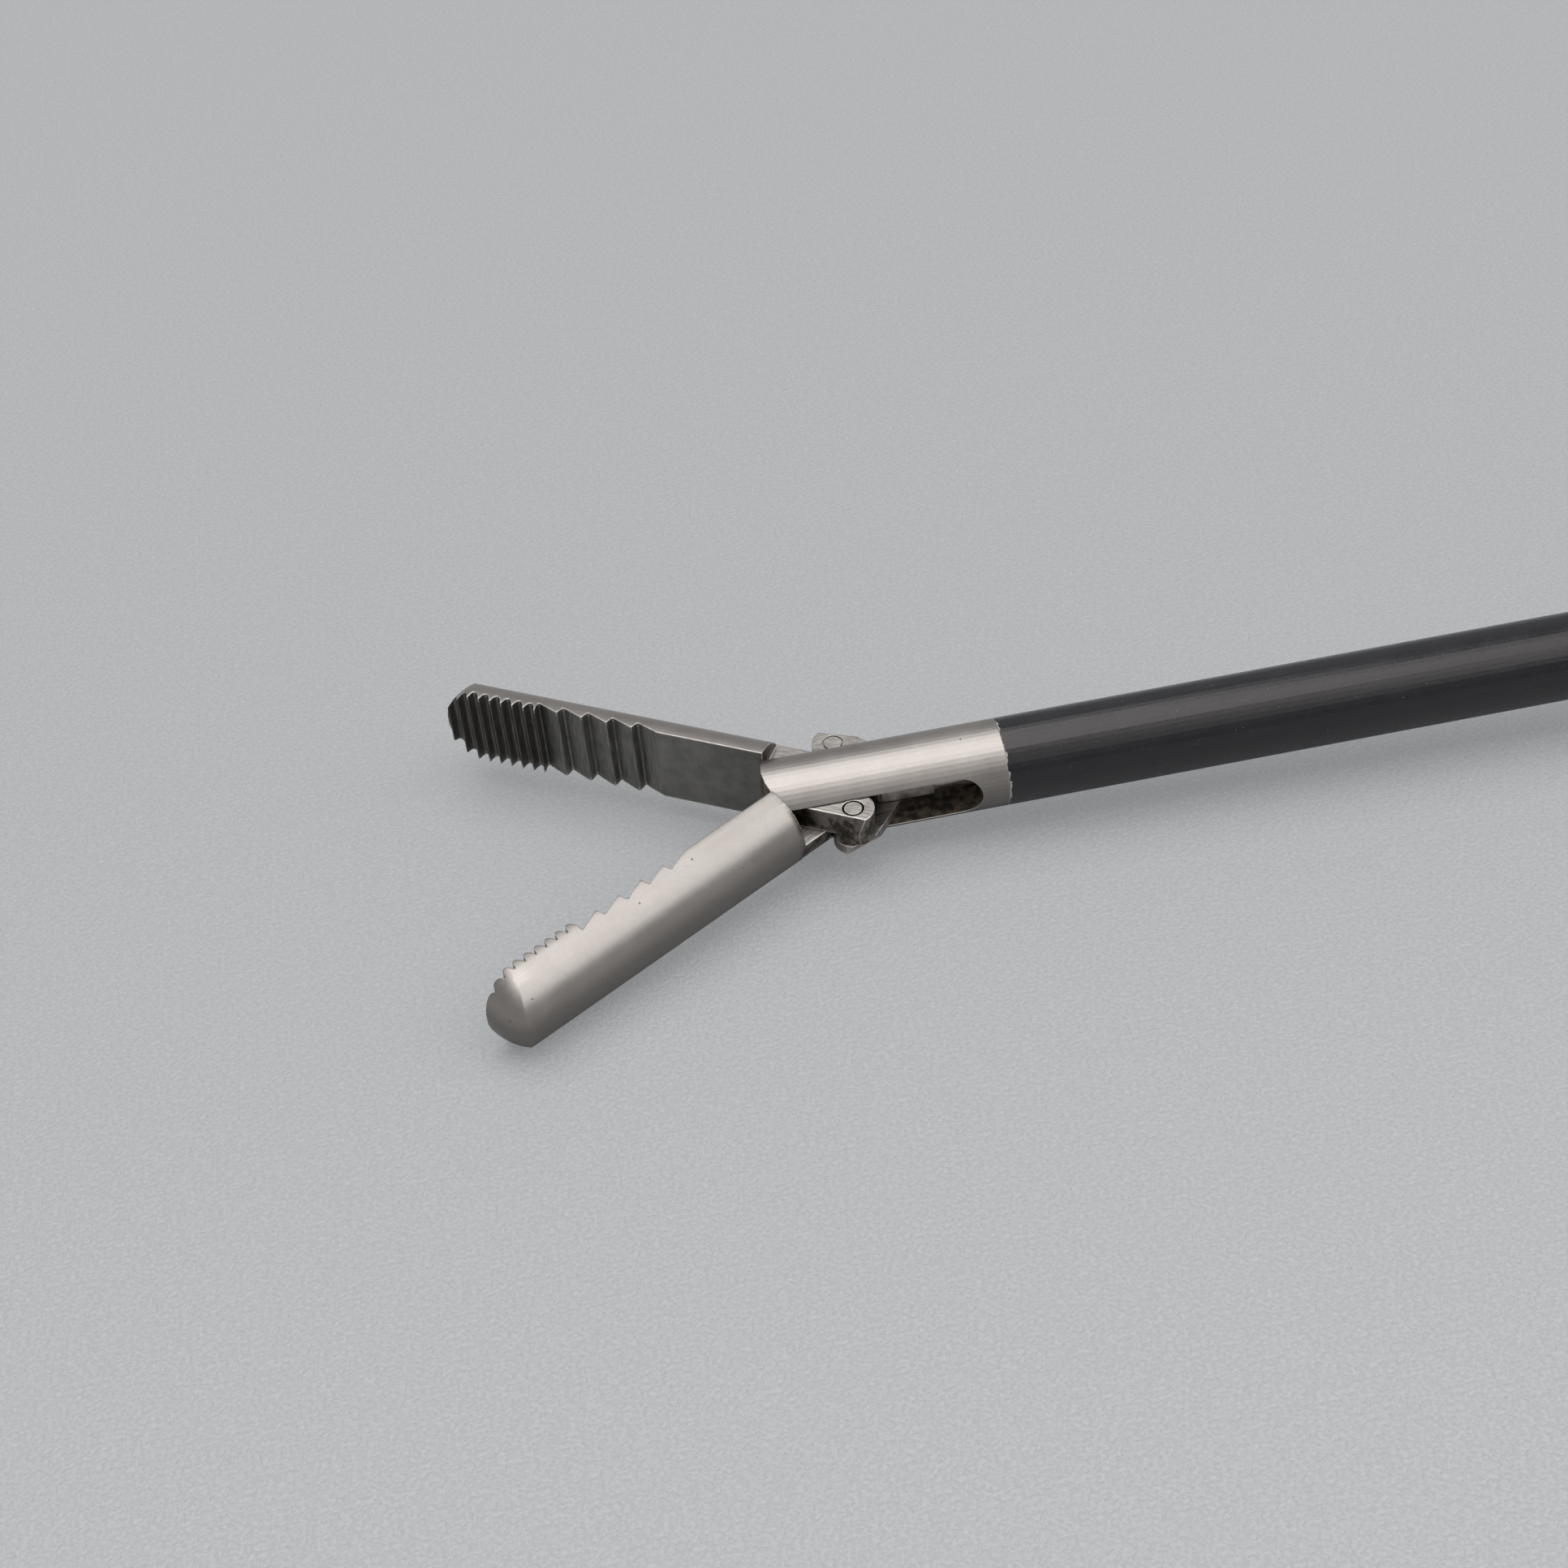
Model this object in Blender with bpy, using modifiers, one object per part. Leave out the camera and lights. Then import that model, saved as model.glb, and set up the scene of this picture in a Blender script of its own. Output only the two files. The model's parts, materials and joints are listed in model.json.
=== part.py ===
"""Laparoscopic grasping forceps, 5 mm shaft, double-action toothed jaws, plain ring handle.

Sizes are in millimetres and go through MM once, when a mesh is made. The shaft frame has its
origin on the jaw pivot, +X along the shaft to the handle, +Z along the jaw pivot. The rest datum
tips that frame by a few degrees, so that the front jaw tip, the knob and the finger ring all
touch the table at z = 0.
"""
import math

import bmesh
import bpy
from mathutils import Matrix, Vector

MM = 0.001

# Shaft and the clearances that every fit uses
SHAFT_R = 2.5
RUNNING_GAP = 0.03
SEAT_GAP = 0.01
LAYER_GAP = 0.02
CORNER_STEP = math.radians(15)
ROUND_STEPS = 56
ENVELOPE_STEPS = 72
PIN_STEPS = 24
PIN_LIMIT_R = 1.8

# Clevis
SLOT_HALF = 1.276
CLEVIS_LENGTH = 10.67
SLOT_WEB = 1.52
SPIGOT_R = 1.74
SPIGOT_LENGTH = 8.0
PIVOT_PIN_R = 0.6
PIVOT_PIN_TOP = 2.12
BORE_GAP = 0.15
CHAMFER = 0.15

# Jaws
JAW_OPEN = math.radians(31.2)
JAW_LENGTH = 23.4
JAW_ROOT = 3.0
ROOT_GAP = 0.08
FACE_GAP = 0.02
NOSE_LENGTH = 1.95
NOSE_START_SLOPE = math.radians(22)
NOSE_END_SLOPE = math.radians(66)
NOSE_STEPS = 6
TANG_TOP = SLOT_HALF - 0.056
TANG_SHOULDER = 1.15
OUTSIDE = SHAFT_R + 0.2
TANG_BITE = 0.4
TANG_STEP = 0.15
TANG_RELIEF = math.radians(4)

# Teeth: a smooth root, five deep back-raked teeth, then a run of fine ones to the tip
FLAT_END = 9.4
BIG_FIRST_VALLEY = 10.76
BIG_PITCH = 1.548
BIG_COUNT = 5
BIG_DEPTH = 0.5
BIG_RISE = 0.2
SMALL_PITCH = 0.715
SMALL_FIRST_CREST = 16.9
SMALL_COUNT = 8
SMALL_PROUD = 0.22
SMALL_DEPTH = 0.24
SMALL_VALLEY_AT = 0.43

# Linkage
LUG_RADIUS = 3.235
LUG_ANGLE_CLOSED = math.radians(27.6)
LUG_R = 1.2
ARM_HALF = 0.85
LUG_UNDER = 0.6
LINK_LENGTH = 3.762
LINK_R = 0.95
LINK_PIN_R = 0.5
LUG_HOLE_R = 0.62
PIN_GROOVE_R = 0.6
PIN_GROOVE_DEPTH = 0.12
BLOCK_HALF_THICKNESS = 0.58
BLOCK_HALF_WIDTH = 0.95
BLOCK_NOSE = 1.27
BLOCK_TAIL = 2.45
ROD_R = 0.95
ROD_SPIGOT_R = 0.36
ROD_SPIGOT_LENGTH = 1.2

# Shaft tube, insulation and collar
TUBE_R = 2.19
TUBE_BORE_R = SPIGOT_R + SEAT_GAP
COLLAR_NOSE_X = 300.0
COLLAR_NOSE_R = 3.3
COLLAR_R = 5.0
SLEEVE_SEAT = 16.0
KNOB_FRONT = 307.0
KNOB_LENGTH = 24.0
KNOB_R = 11.0
KNOB_NOSE_R = 7.0
KNOB_LANDS = 8
FLUTE_R = 3.2
FLUTE_CENTRE_R = 12.4
JOURNAL_R = 4.0
JOURNAL_LENGTH = 11.7
JOURNAL_WALL = 2.0
GROOVE_R = 3.2
GROOVE_FROM = 4.9
GROOVE_WIDTH = 2.4
TUBE_END_BACK = 6.0
SEAL_MINOR_R = 0.58
SEAL_SIDES = 10

# Handle
BODY_GAP = 0.3
BARREL_HALF = 7.0
BARREL_TOP = 9.0
BARREL_BOTTOM = -16.0
BARREL_LENGTH = 40.0
BARREL_ROUNDING = 1.6
GRIP_HALF = 4.5
GRIP_ROUNDING = 1.8
SLOT_FRONT = 19.0
LEVER_SLOT_HALF = 3.3
FINGER_RING_AT = (6.0, -62.0)
FINGER_RING_HOLE = (11.2, 20.2)
FINGER_RING_WALL = 4.8
THUMB_RING_AT = (24.0, -56.0)
THUMB_RING_HOLE = (12.2, 15.2)
THUMB_RING_WALL = 4.8
LEVER_AT = 27.0
LEVER_ARM = 8.0
LEVER_HALF = LEVER_SLOT_HALF - 0.3
BALL_R = 2.0
POCKET_GAP = 0.12
POCKET_WALL = 2.1
POCKET_DROP = 0.3
ROD_SLOT_GAP = 0.2
ROD_SLOT_DROP = 0.6
LEVER_HOLE_GAP = 0.05
POCKET_LIP = 4.5
LEVER_PIN_R = 2.0
LEVER_SCREW_R = 1.2
LEVER_HEAD_R = 3.4
LEVER_HEAD_HEIGHT = 1.1
HEAD_RIM = 0.5
HEAD_CROWN = 0.9
SCREW_SLOT_HALF = 0.4
SCREW_SLOT_DEPTH = 0.6
SCREW_TIP_SHORT = 2.0
NUT_END_SHORT = 0.4
HF_AT = 15.5
HF_R = 2.0
HF_LENGTH = 16.0
HF_TIP_R = 0.8
HF_BOSS_R = 4.2
HF_BOSS_HEIGHT = 3.0
SET_SCREW_R = 1.5
SET_SCREW_TIP_R = 1.0
SET_SCREW_SINK = 0.5
SOCKET_R = 0.8
SOCKET_DEPTH = 1.2

COLOURS = {
    "satin_steel": ((0.56, 0.54, 0.51, 1.0), 0.34, 1.0),
    "ground_steel": ((0.42, 0.41, 0.40, 1.0), 0.42, 1.0),
    "insulation": ((0.020, 0.024, 0.032, 1.0), 0.32, 0.0),
    "handle_plastic": ((0.018, 0.019, 0.021, 1.0), 0.45, 0.0),
    "knob_plastic": ((0.030, 0.031, 0.034, 1.0), 0.40, 0.0),
    "silicone": ((0.55, 0.53, 0.50, 1.0), 0.60, 0.0),
}


def lug_at(angle):
    """Lug pin centre for a lug angle from the shaft axis."""
    return LUG_RADIUS * math.cos(angle), LUG_RADIUS * math.sin(angle)


def rod_pin_x(angle):
    """Rod pin position that the links give for a lug angle."""
    x, y = lug_at(angle)
    return x + math.sqrt(LINK_LENGTH ** 2 - y ** 2)


def link_angle(angle):
    """Angle between a link and the shaft axis for a lug angle."""
    return math.asin(lug_at(angle)[1] / LINK_LENGTH)


LUG_ANGLE_OPEN = LUG_ANGLE_CLOSED + JAW_OPEN
ROD_PIN_OPEN = rod_pin_x(LUG_ANGLE_OPEN)
ROD_PIN_CLOSED = rod_pin_x(LUG_ANGLE_CLOSED)
STROKE = ROD_PIN_CLOSED - ROD_PIN_OPEN
LEVER_SWING = STROKE / LEVER_ARM
BODY_X = KNOB_FRONT + KNOB_LENGTH + BODY_GAP
LEVER_X = BODY_X + LEVER_AT
BALL_X = LEVER_X - STROKE / 2
EAR_R = JAW_ROOT - ROOT_GAP
TANG_R = LUG_RADIUS - LUG_R - 0.05
SLOT_END = CLEVIS_LENGTH - SLOT_WEB


def clear_scene():
    for ob in list(bpy.data.objects):
        bpy.data.objects.remove(ob, do_unlink=True)


def make_materials():
    made = {}
    for name, (colour, roughness, metallic) in COLOURS.items():
        material = bpy.data.materials.new(name)
        material.use_nodes = True
        shader = material.node_tree.nodes["Principled BSDF"]
        shader.inputs["Base Color"].default_value = colour
        shader.inputs["Roughness"].default_value = roughness
        shader.inputs["Metallic"].default_value = metallic
        made[name] = material
    return made


class Bench:
    """The two collections, the materials and the empties that pieces are placed by."""

    def __init__(self):
        self.parts = bpy.data.collections.new("laparoscopic_grasping_forceps")
        self.cutters = bpy.data.collections.new("cutters")
        for collection in (self.parts, self.cutters):
            bpy.context.scene.collection.children.link(collection)
        self.materials = make_materials()

    def empty(self, name, parent=None, location=(0, 0, 0), turn_z=0.0):
        ob = bpy.data.objects.new(name, None)
        ob.empty_display_size = 4 * MM
        ob.location = Vector(location) * MM
        ob.rotation_euler = (0, 0, turn_z)
        ob.parent = parent
        self.parts.objects.link(ob)
        return ob

    def piece(self, ob, parent, material, location=(0, 0, 0)):
        """Apply a raw solid's cuts and place it as a finished piece under its empty."""
        bpy.context.view_layer.update()
        ob.data = bpy.data.meshes.new_from_object(ob.evaluated_get(bpy.context.evaluated_depsgraph_get()))
        ob.modifiers.clear()
        smooth(ob.data)
        for tool in ob.children_recursive:
            bpy.data.objects.remove(tool)
        self.cutters.objects.unlink(ob)
        self.parts.objects.link(ob)
        ob.hide_render = False
        ob.display_type = "TEXTURED"
        ob.location = ob.location + Vector(location) * MM
        ob.parent = parent
        ob.data.materials.clear()
        ob.data.materials.append(self.materials[material])
        return ob

    def raw(self, name, mesh):
        """A solid that is not yet a piece: a cutter until it is used as one."""
        ob = bpy.data.objects.new(name, mesh)
        ob.hide_render = True
        ob.display_type = "WIRE"
        self.cutters.objects.link(ob)
        return ob


def smooth(mesh, angle=math.radians(28)):
    mesh.shade_smooth()
    mesh.set_sharp_from_angle(angle=angle)


def turned(bench, name, profile, steps=ROUND_STEPS):
    """Solid turned about the shaft axis. The profile is (x, radius), outer side first,
    from the handle end to the jaw end, then the bore on the way back."""
    mesh = bpy.data.meshes.new(name)
    points = [(radius * MM, 0.0, x * MM) for x, radius in profile]
    edges = [(i, i + 1) for i in range(len(points) - 1)]
    if profile[0][1] > 0:
        edges.append((len(points) - 1, 0))
    mesh.from_pydata(points, edges, [])
    ob = bench.raw(name, mesh)
    ob.rotation_euler = (0, math.pi / 2, 0)
    screw = ob.modifiers.new("turn", "SCREW")
    screw.axis = "Z"
    screw.steps = steps
    screw.render_steps = steps
    screw.use_merge_vertices = True
    screw.merge_threshold = 1e-6
    return ob


def rod(bench, name, radius, start, end, steps=None):
    """Plain cylinder between two points, with more sides on a wide one."""
    steps = steps or (PIN_STEPS if radius < PIN_LIMIT_R else ROUND_STEPS)
    a, b = Vector(start) * MM, Vector(end) * MM
    mesh = bpy.data.meshes.new(name)
    bm = bmesh.new()
    bmesh.ops.create_cone(bm, cap_ends=True, segments=steps, radius1=radius * MM,
                          radius2=radius * MM, depth=(b - a).length)
    turn = (b - a).to_track_quat("Z", "Y").to_matrix().to_4x4()
    bmesh.ops.transform(bm, matrix=Matrix.Translation((a + b) / 2) @ turn, verts=bm.verts)
    bm.to_mesh(mesh)
    bm.free()
    smooth(mesh)
    return bench.raw(name, mesh)


def box(bench, name, low, high):
    """Plain box between two corners."""
    a, b = Vector(low) * MM, Vector(high) * MM
    mesh = bpy.data.meshes.new(name)
    bm = bmesh.new()
    bmesh.ops.create_cube(bm, size=1.0)
    size = Matrix.Diagonal((b - a).to_4d())
    size[3][3] = 1.0
    bmesh.ops.transform(bm, matrix=Matrix.Translation((a + b) / 2) @ size, verts=bm.verts)
    bm.to_mesh(mesh)
    bm.free()
    return bench.raw(name, mesh)


def plate(bench, name, outlines, low, high, rounding=0.0):
    """Flat outline, with any holes, as a solid from low to high, its edges rounded."""
    curve = bpy.data.curves.new(name, "CURVE")
    curve.dimensions = "2D"
    curve.fill_mode = "BOTH"
    curve.extrude = ((high - low) / 2 - rounding) * MM
    curve.bevel_depth = rounding * MM
    curve.bevel_resolution = 1
    curve.offset = -rounding * MM
    for outline in outlines:
        spline = curve.splines.new("POLY")
        spline.points.add(len(outline) - 1)
        for point, (x, y) in zip(spline.points, outline):
            point.co = (x * MM, y * MM, 0.0, 1.0)
        spline.use_cyclic_u = True
    drawn = bpy.data.objects.new(name + "_outline", curve)
    bench.cutters.objects.link(drawn)
    bpy.context.view_layer.update()
    mesh = bpy.data.meshes.new_from_object(drawn.evaluated_get(bpy.context.evaluated_depsgraph_get()))
    bpy.data.objects.remove(drawn)
    bpy.data.curves.remove(curve)
    bm = bmesh.new()
    bm.from_mesh(mesh)
    bmesh.ops.remove_doubles(bm, verts=bm.verts, dist=1e-6)
    bmesh.ops.recalc_face_normals(bm, faces=bm.faces)
    bmesh.ops.translate(bm, verts=bm.verts, vec=(0, 0, (low + high) / 2 * MM))
    bm.to_mesh(mesh)
    bm.free()
    smooth(mesh)
    mesh.name = name
    return bench.raw(name, mesh)


def shape(ob, operation, tool):
    """Join, cut or trim a solid with a tool that stays with it."""
    tool.parent = ob
    if ob.rotation_euler.y:
        tool.matrix_parent_inverse = ob.rotation_euler.to_matrix().to_4x4().inverted()
    step = ob.modifiers.new(operation.lower(), "BOOLEAN")
    step.operation = operation
    step.object = tool
    return ob


def arc(cx, cy, radius, start, end):
    """Points on an arc, both ends included."""
    count = max(2, math.ceil(abs(end - start) / CORNER_STEP))
    angles = [start + (end - start) * i / count for i in range(count + 1)]
    return [(cx + radius * math.cos(a), cy + radius * math.sin(a)) for a in angles]


def ellipse(cx, cy, rx, ry, count=36):
    angles = [2 * math.pi * i / count for i in range(count)]
    return [(cx + rx * math.cos(a), cy + ry * math.sin(a)) for a in angles]


def filleted(corners):
    """Outline through (x, y, fillet radius) corners, counter-clockwise."""
    points = []
    count = len(corners)
    for i, (x, y, radius) in enumerate(corners):
        before = Vector(corners[i - 1][:2]) - Vector((x, y))
        after = Vector(corners[(i + 1) % count][:2]) - Vector((x, y))
        half = before.angle(after) / 2
        reach = radius / math.tan(half)
        start = Vector((x, y)) + before.normalized() * reach
        end = Vector((x, y)) + after.normalized() * reach
        middle = (before.normalized() + after.normalized()).normalized()
        centre = Vector((x, y)) + middle * (radius / math.sin(half))
        a = math.atan2(start.y - centre.y, start.x - centre.x)
        b = math.atan2(end.y - centre.y, end.x - centre.x)
        sweep = (b - a + math.pi) % (2 * math.pi) - math.pi
        points += arc(centre.x, centre.y, radius, a, a + sweep)
    return points


def hull_of_discs(first, first_r, second, second_r):
    """Outline round two discs, the plan of a link or an arm."""
    run = Vector(second) - Vector(first)
    heading = math.atan2(run.y, run.x)
    lean = math.asin((first_r - second_r) / run.length)
    side = math.pi / 2 - lean
    outline = arc(*second, second_r, heading - side, heading + side)
    outline += arc(*first, first_r, heading + side, heading + 2 * math.pi - side)
    return outline


def tooth_line(small_shift):
    """Inner edge of a jaw as (distance from the pivot, height proud of the face)."""
    line = [(JAW_ROOT, 0.0), (FLAT_END, 0.0)]
    for k in range(BIG_COUNT):
        valley = BIG_FIRST_VALLEY + k * BIG_PITCH
        line += [(valley - 0.16, -0.9 * BIG_DEPTH), (valley - 0.04, -BIG_DEPTH),
                 (valley + 0.06, -0.88 * BIG_DEPTH)]
        if k < BIG_COUNT - 1:
            line.append((valley + BIG_RISE, 0.0))
    first = SMALL_FIRST_CREST + small_shift
    for k in range(SMALL_COUNT):
        crest = first + k * SMALL_PITCH
        valley = crest + SMALL_VALLEY_AT * SMALL_PITCH
        line += [(crest, SMALL_PROUD), (valley - 0.1, -0.86 * SMALL_DEPTH),
                 (valley, -SMALL_DEPTH), (valley + 0.12, -0.86 * SMALL_DEPTH)]
    line.append((first + SMALL_COUNT * SMALL_PITCH, 0.0))
    return [point for point in line if point[0] < JAW_LENGTH - 0.1] + [(JAW_LENGTH + 1, -0.05)]


def bullet(bench, name):
    """The round envelope that both jaws, lugs and links are ground to when shut."""
    reach = math.sin(NOSE_END_SLOPE) - math.sin(NOSE_START_SLOPE)
    radius = NOSE_LENGTH / reach
    profile = [(12.0, 0.0), (12.0, SHAFT_R)]
    for i in range(NOSE_STEPS + 1):
        slope = NOSE_START_SLOPE + (NOSE_END_SLOPE - NOSE_START_SLOPE) * i / NOSE_STEPS
        x = -(JAW_LENGTH - NOSE_LENGTH) - radius * (math.sin(slope) - math.sin(NOSE_START_SLOPE))
        r = SHAFT_R - radius * (math.cos(NOSE_START_SLOPE) - math.cos(slope))
        profile.append((x, r))
    profile.append((-JAW_LENGTH, 0.0))
    return turned(bench, name, profile, ENVELOPE_STEPS)


def tang_outline():
    """Plan of a jaw's tang: as wide as the envelope on the lug's side and beside the jaw,
    and cut back to a round boss where the other jaw's lug and link swing past."""
    x, y = lug_at(-LUG_ANGLE_CLOSED)
    heading = -LUG_ANGLE_CLOSED
    lug_side = math.pi - math.asin(ARM_HALF / LUG_R)
    boss_side = math.asin(ARM_HALF / TANG_R)
    swept = 2 * JAW_OPEN + LUG_ANGLE_CLOSED + math.asin(LUG_R / LUG_RADIUS)
    outline = arc(x, y, LUG_R, -math.pi / 2, heading + lug_side)
    outline += arc(0, 0, TANG_R, heading + boss_side, swept + TANG_RELIEF)
    inside, step_y = -JAW_ROOT - TANG_BITE, FACE_GAP + TANG_STEP
    outline += [(-TANG_SHOULDER, OUTSIDE), (inside, OUTSIDE), (inside, step_y),
                (ROOT_GAP / 2 - JAW_ROOT, step_y)]
    front_r = EAR_R - ROOT_GAP
    outline += arc(0, 0, front_r, math.pi, math.pi + math.asin(OUTSIDE / front_r))
    return outline, (x, y)


def jaw(bench, name, small_shift):
    """One jaw in its shut place: y from the closing face outwards, tang above mid-plane."""
    line = [(-t, FACE_GAP - proud) for t, proud in tooth_line(small_shift)]
    outline = line + [(-JAW_LENGTH - 1, SHAFT_R + 1), (-JAW_ROOT, SHAFT_R + 1)]
    ob = plate(bench, name, [outline], -3.0, 3.0)
    tang, lug = tang_outline()
    shape(ob, "UNION", plate(bench, name + "_tang", [tang], LAYER_GAP, TANG_TOP))
    foot = ellipse(*lug, LUG_R, LUG_R)
    shape(ob, "UNION", plate(bench, name + "_lug", [foot], -LUG_UNDER, TANG_TOP))
    shape(ob, "INTERSECT", bullet(bench, name + "_envelope"))
    pivot_hole = PIVOT_PIN_R + RUNNING_GAP
    shape(ob, "DIFFERENCE", rod(bench, name + "_pivot_hole", pivot_hole, (0, 0, -4), (0, 0, 4)))
    shape(ob, "DIFFERENCE", rod(bench, name + "_lug_hole", LUG_HOLE_R, (*lug, -4), (*lug, 4)))
    return ob


def link(bench, name):
    """One link with its rod pin at the origin, reaching forward, below the rod block."""
    far = (-LINK_LENGTH, 0.0)
    outline = hull_of_discs((0, 0), LINK_R, far, LUG_R)
    low, high = -TANG_TOP, -(LUG_UNDER + LAYER_GAP)
    ob = plate(bench, name, [outline], low, high)
    envelope = bullet(bench, name + "_envelope")
    envelope.rotation_euler = (0, math.pi / 2, -link_angle(LUG_ANGLE_CLOSED))
    shape(ob, "INTERSECT", envelope)
    for label, centre, hole in (("rod", (0, 0), LINK_PIN_R + RUNNING_GAP),
                                ("lug", far, LINK_PIN_R + SEAT_GAP)):
        start, end = (*centre, low - 1), (*centre, high + 1)
        shape(ob, "DIFFERENCE", rod(bench, f"{name}_{label}_hole", hole, start, end))
        groove = (*centre, low + PIN_GROOVE_DEPTH)
        shape(ob, "DIFFERENCE", rod(bench, f"{name}_{label}_groove", PIN_GROOVE_R, start, groove))
    return ob


def clevis(bench, parent):
    length = CLEVIS_LENGTH
    bore = ROD_R + BORE_GAP
    spigot_end = length + SPIGOT_LENGTH
    front_end = -EAR_R - 1
    profile = [(spigot_end, bore), (spigot_end, SPIGOT_R - CHAMFER), (spigot_end - CHAMFER, SPIGOT_R),
               (length, SPIGOT_R), (length, SHAFT_R), (front_end, SHAFT_R), (front_end, bore)]
    ob = turned(bench, "clevis", profile)
    front = arc(0, 0, EAR_R, math.radians(90), math.radians(270))
    plan = front + [(spigot_end + 1, -EAR_R), (spigot_end + 1, EAR_R)]
    shape(ob, "INTERSECT", plate(bench, "clevis_plan", [plan], -4.0, 4.0))
    side = arc(SLOT_END - SLOT_HALF, 0, SLOT_HALF, -math.pi / 2, math.pi / 2)
    slot = plate(bench, "clevis_slot", [side + [(-5, SLOT_HALF), (-5, -SLOT_HALF)]], -4.0, 4.0)
    slot.rotation_euler = (math.pi / 2, 0, 0)
    shape(ob, "DIFFERENCE", slot)
    hole = PIVOT_PIN_R + SEAT_GAP
    hole_top = (0, 0, PIVOT_PIN_TOP + SEAT_GAP)
    shape(ob, "DIFFERENCE", rod(bench, "clevis_pivot_hole", hole, (0, 0, -4), hole_top))
    return bench.piece(ob, parent, "satin_steel")


def jaw_pivot_pin(bench, parent):
    """Pin pressed in from the underside: flush there, and stopped short of the top face."""
    ob = rod(bench, "jaw_pivot_pin", PIVOT_PIN_R, (0, 0, -4), (0, 0, PIVOT_PIN_TOP))
    envelope = turned(bench, "pivot_pin_envelope", [(4, 0), (4, SHAFT_R), (-4, SHAFT_R), (-4, 0)])
    shape(ob, "INTERSECT", envelope)
    return bench.piece(ob, parent, "satin_steel")


def rod_end_block(bench, parent):
    """Flat block on the rod's end, between the two links."""
    nose = arc(-BLOCK_NOSE + BLOCK_HALF_WIDTH, 0, BLOCK_HALF_WIDTH, math.pi / 2, math.pi * 1.5)
    outline = nose + [(BLOCK_TAIL, -BLOCK_HALF_WIDTH), (BLOCK_TAIL, BLOCK_HALF_WIDTH)]
    ob = plate(bench, "rod_end_block", [outline], -BLOCK_HALF_THICKNESS, BLOCK_HALF_THICKNESS)
    hole = LINK_PIN_R + SEAT_GAP
    shape(ob, "DIFFERENCE", rod(bench, "block_pin_hole", hole, (0, 0, -2), (0, 0, 2)))
    socket_start = (BLOCK_TAIL - ROD_SPIGOT_LENGTH - 0.02, 0, 0)
    socket = rod(bench, "block_socket", ROD_SPIGOT_R + SEAT_GAP, socket_start, (BLOCK_TAIL + 1, 0, 0))
    shape(ob, "DIFFERENCE", socket)
    return bench.piece(ob, parent, "ground_steel")


def drive_rod(bench, parent):
    """Rod from the block to the ball, turned down at the block end."""
    end = BALL_X - ROD_PIN_OPEN + BALL_R * 0.6
    step = BLOCK_TAIL + SEAT_GAP
    profile = [(end, 0.0), (end, ROD_R), (step, ROD_R), (step, ROD_SPIGOT_R),
               (BLOCK_TAIL - ROD_SPIGOT_LENGTH, ROD_SPIGOT_R), (BLOCK_TAIL - ROD_SPIGOT_LENGTH, 0.0)]
    return bench.piece(turned(bench, "drive_rod", profile, PIN_STEPS), parent, "ground_steel")


def rod_ball(bench, parent):
    """Ball on the rod's handle end, which the lever pulls whichever way the shaft is turned."""
    mesh = bpy.data.meshes.new("rod_ball")
    bm = bmesh.new()
    bmesh.ops.create_uvsphere(bm, u_segments=24, v_segments=12, radius=BALL_R * MM)
    bm.to_mesh(mesh)
    bm.free()
    smooth(mesh, math.radians(40))
    ob = bench.raw("rod_ball", mesh)
    seat = rod(bench, "ball_seat", ROD_R + SEAT_GAP, (-4, 0, 0), (BALL_R * 0.6 + 0.02, 0, 0))
    shape(ob, "DIFFERENCE", seat)
    return bench.piece(ob, parent, "ground_steel", (BALL_X - ROD_PIN_OPEN, 0, 0))


def linkage_pin(bench, name, parent, centre):
    ends = TANG_TOP
    ob = rod(bench, name, LINK_PIN_R, (0, 0, -ends), (0, 0, ends))
    return bench.piece(ob, parent, "ground_steel", (*centre, 0))


def shaft_tube(bench, parent):
    start = CLEVIS_LENGTH + SEAT_GAP
    end = BODY_X + TUBE_END_BACK
    profile = [(end, TUBE_BORE_R), (end, TUBE_R), (start, TUBE_R), (start, TUBE_BORE_R)]
    return bench.piece(turned(bench, "shaft_tube", profile), parent, "satin_steel")


def insulation_sleeve(bench, parent):
    start = CLEVIS_LENGTH + SEAT_GAP
    end = COLLAR_NOSE_X + SLEEVE_SEAT - 0.1
    bore = TUBE_R + LAYER_GAP
    profile = [(end, bore), (end, SHAFT_R), (start, SHAFT_R), (start, bore)]
    return bench.piece(turned(bench, "insulation_sleeve", profile), parent, "insulation")


def shaft_collar(bench, parent):
    """Steel hub: holds tube and sleeve, carries the knob, and turns in the handle."""
    seat = COLLAR_NOSE_X + SLEEVE_SEAT
    shoulder = BODY_X - BODY_GAP + SEAT_GAP
    end = BODY_X + JOURNAL_LENGTH
    groove = BODY_X + GROOVE_FROM
    wall = end - JOURNAL_WALL
    tube_seat = TUBE_R + RUNNING_GAP
    sleeve_seat = SHAFT_R + RUNNING_GAP
    rod_bore = ROD_R + BORE_GAP
    profile = [(end, rod_bore), (end, JOURNAL_R), (groove + GROOVE_WIDTH, JOURNAL_R),
               (groove + GROOVE_WIDTH, GROOVE_R), (groove, GROOVE_R), (groove, JOURNAL_R),
               (shoulder, JOURNAL_R), (shoulder, COLLAR_R), (KNOB_FRONT - 0.6, COLLAR_R),
               (KNOB_FRONT - 1.2, COLLAR_R - 0.4), (COLLAR_NOSE_X + 0.4, COLLAR_NOSE_R + 0.1),
               (COLLAR_NOSE_X, COLLAR_NOSE_R - 0.2), (COLLAR_NOSE_X, sleeve_seat),
               (seat, sleeve_seat), (seat, tube_seat), (wall, tube_seat), (wall, rod_bore)]
    return bench.piece(turned(bench, "shaft_collar", profile), parent, "satin_steel")


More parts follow.
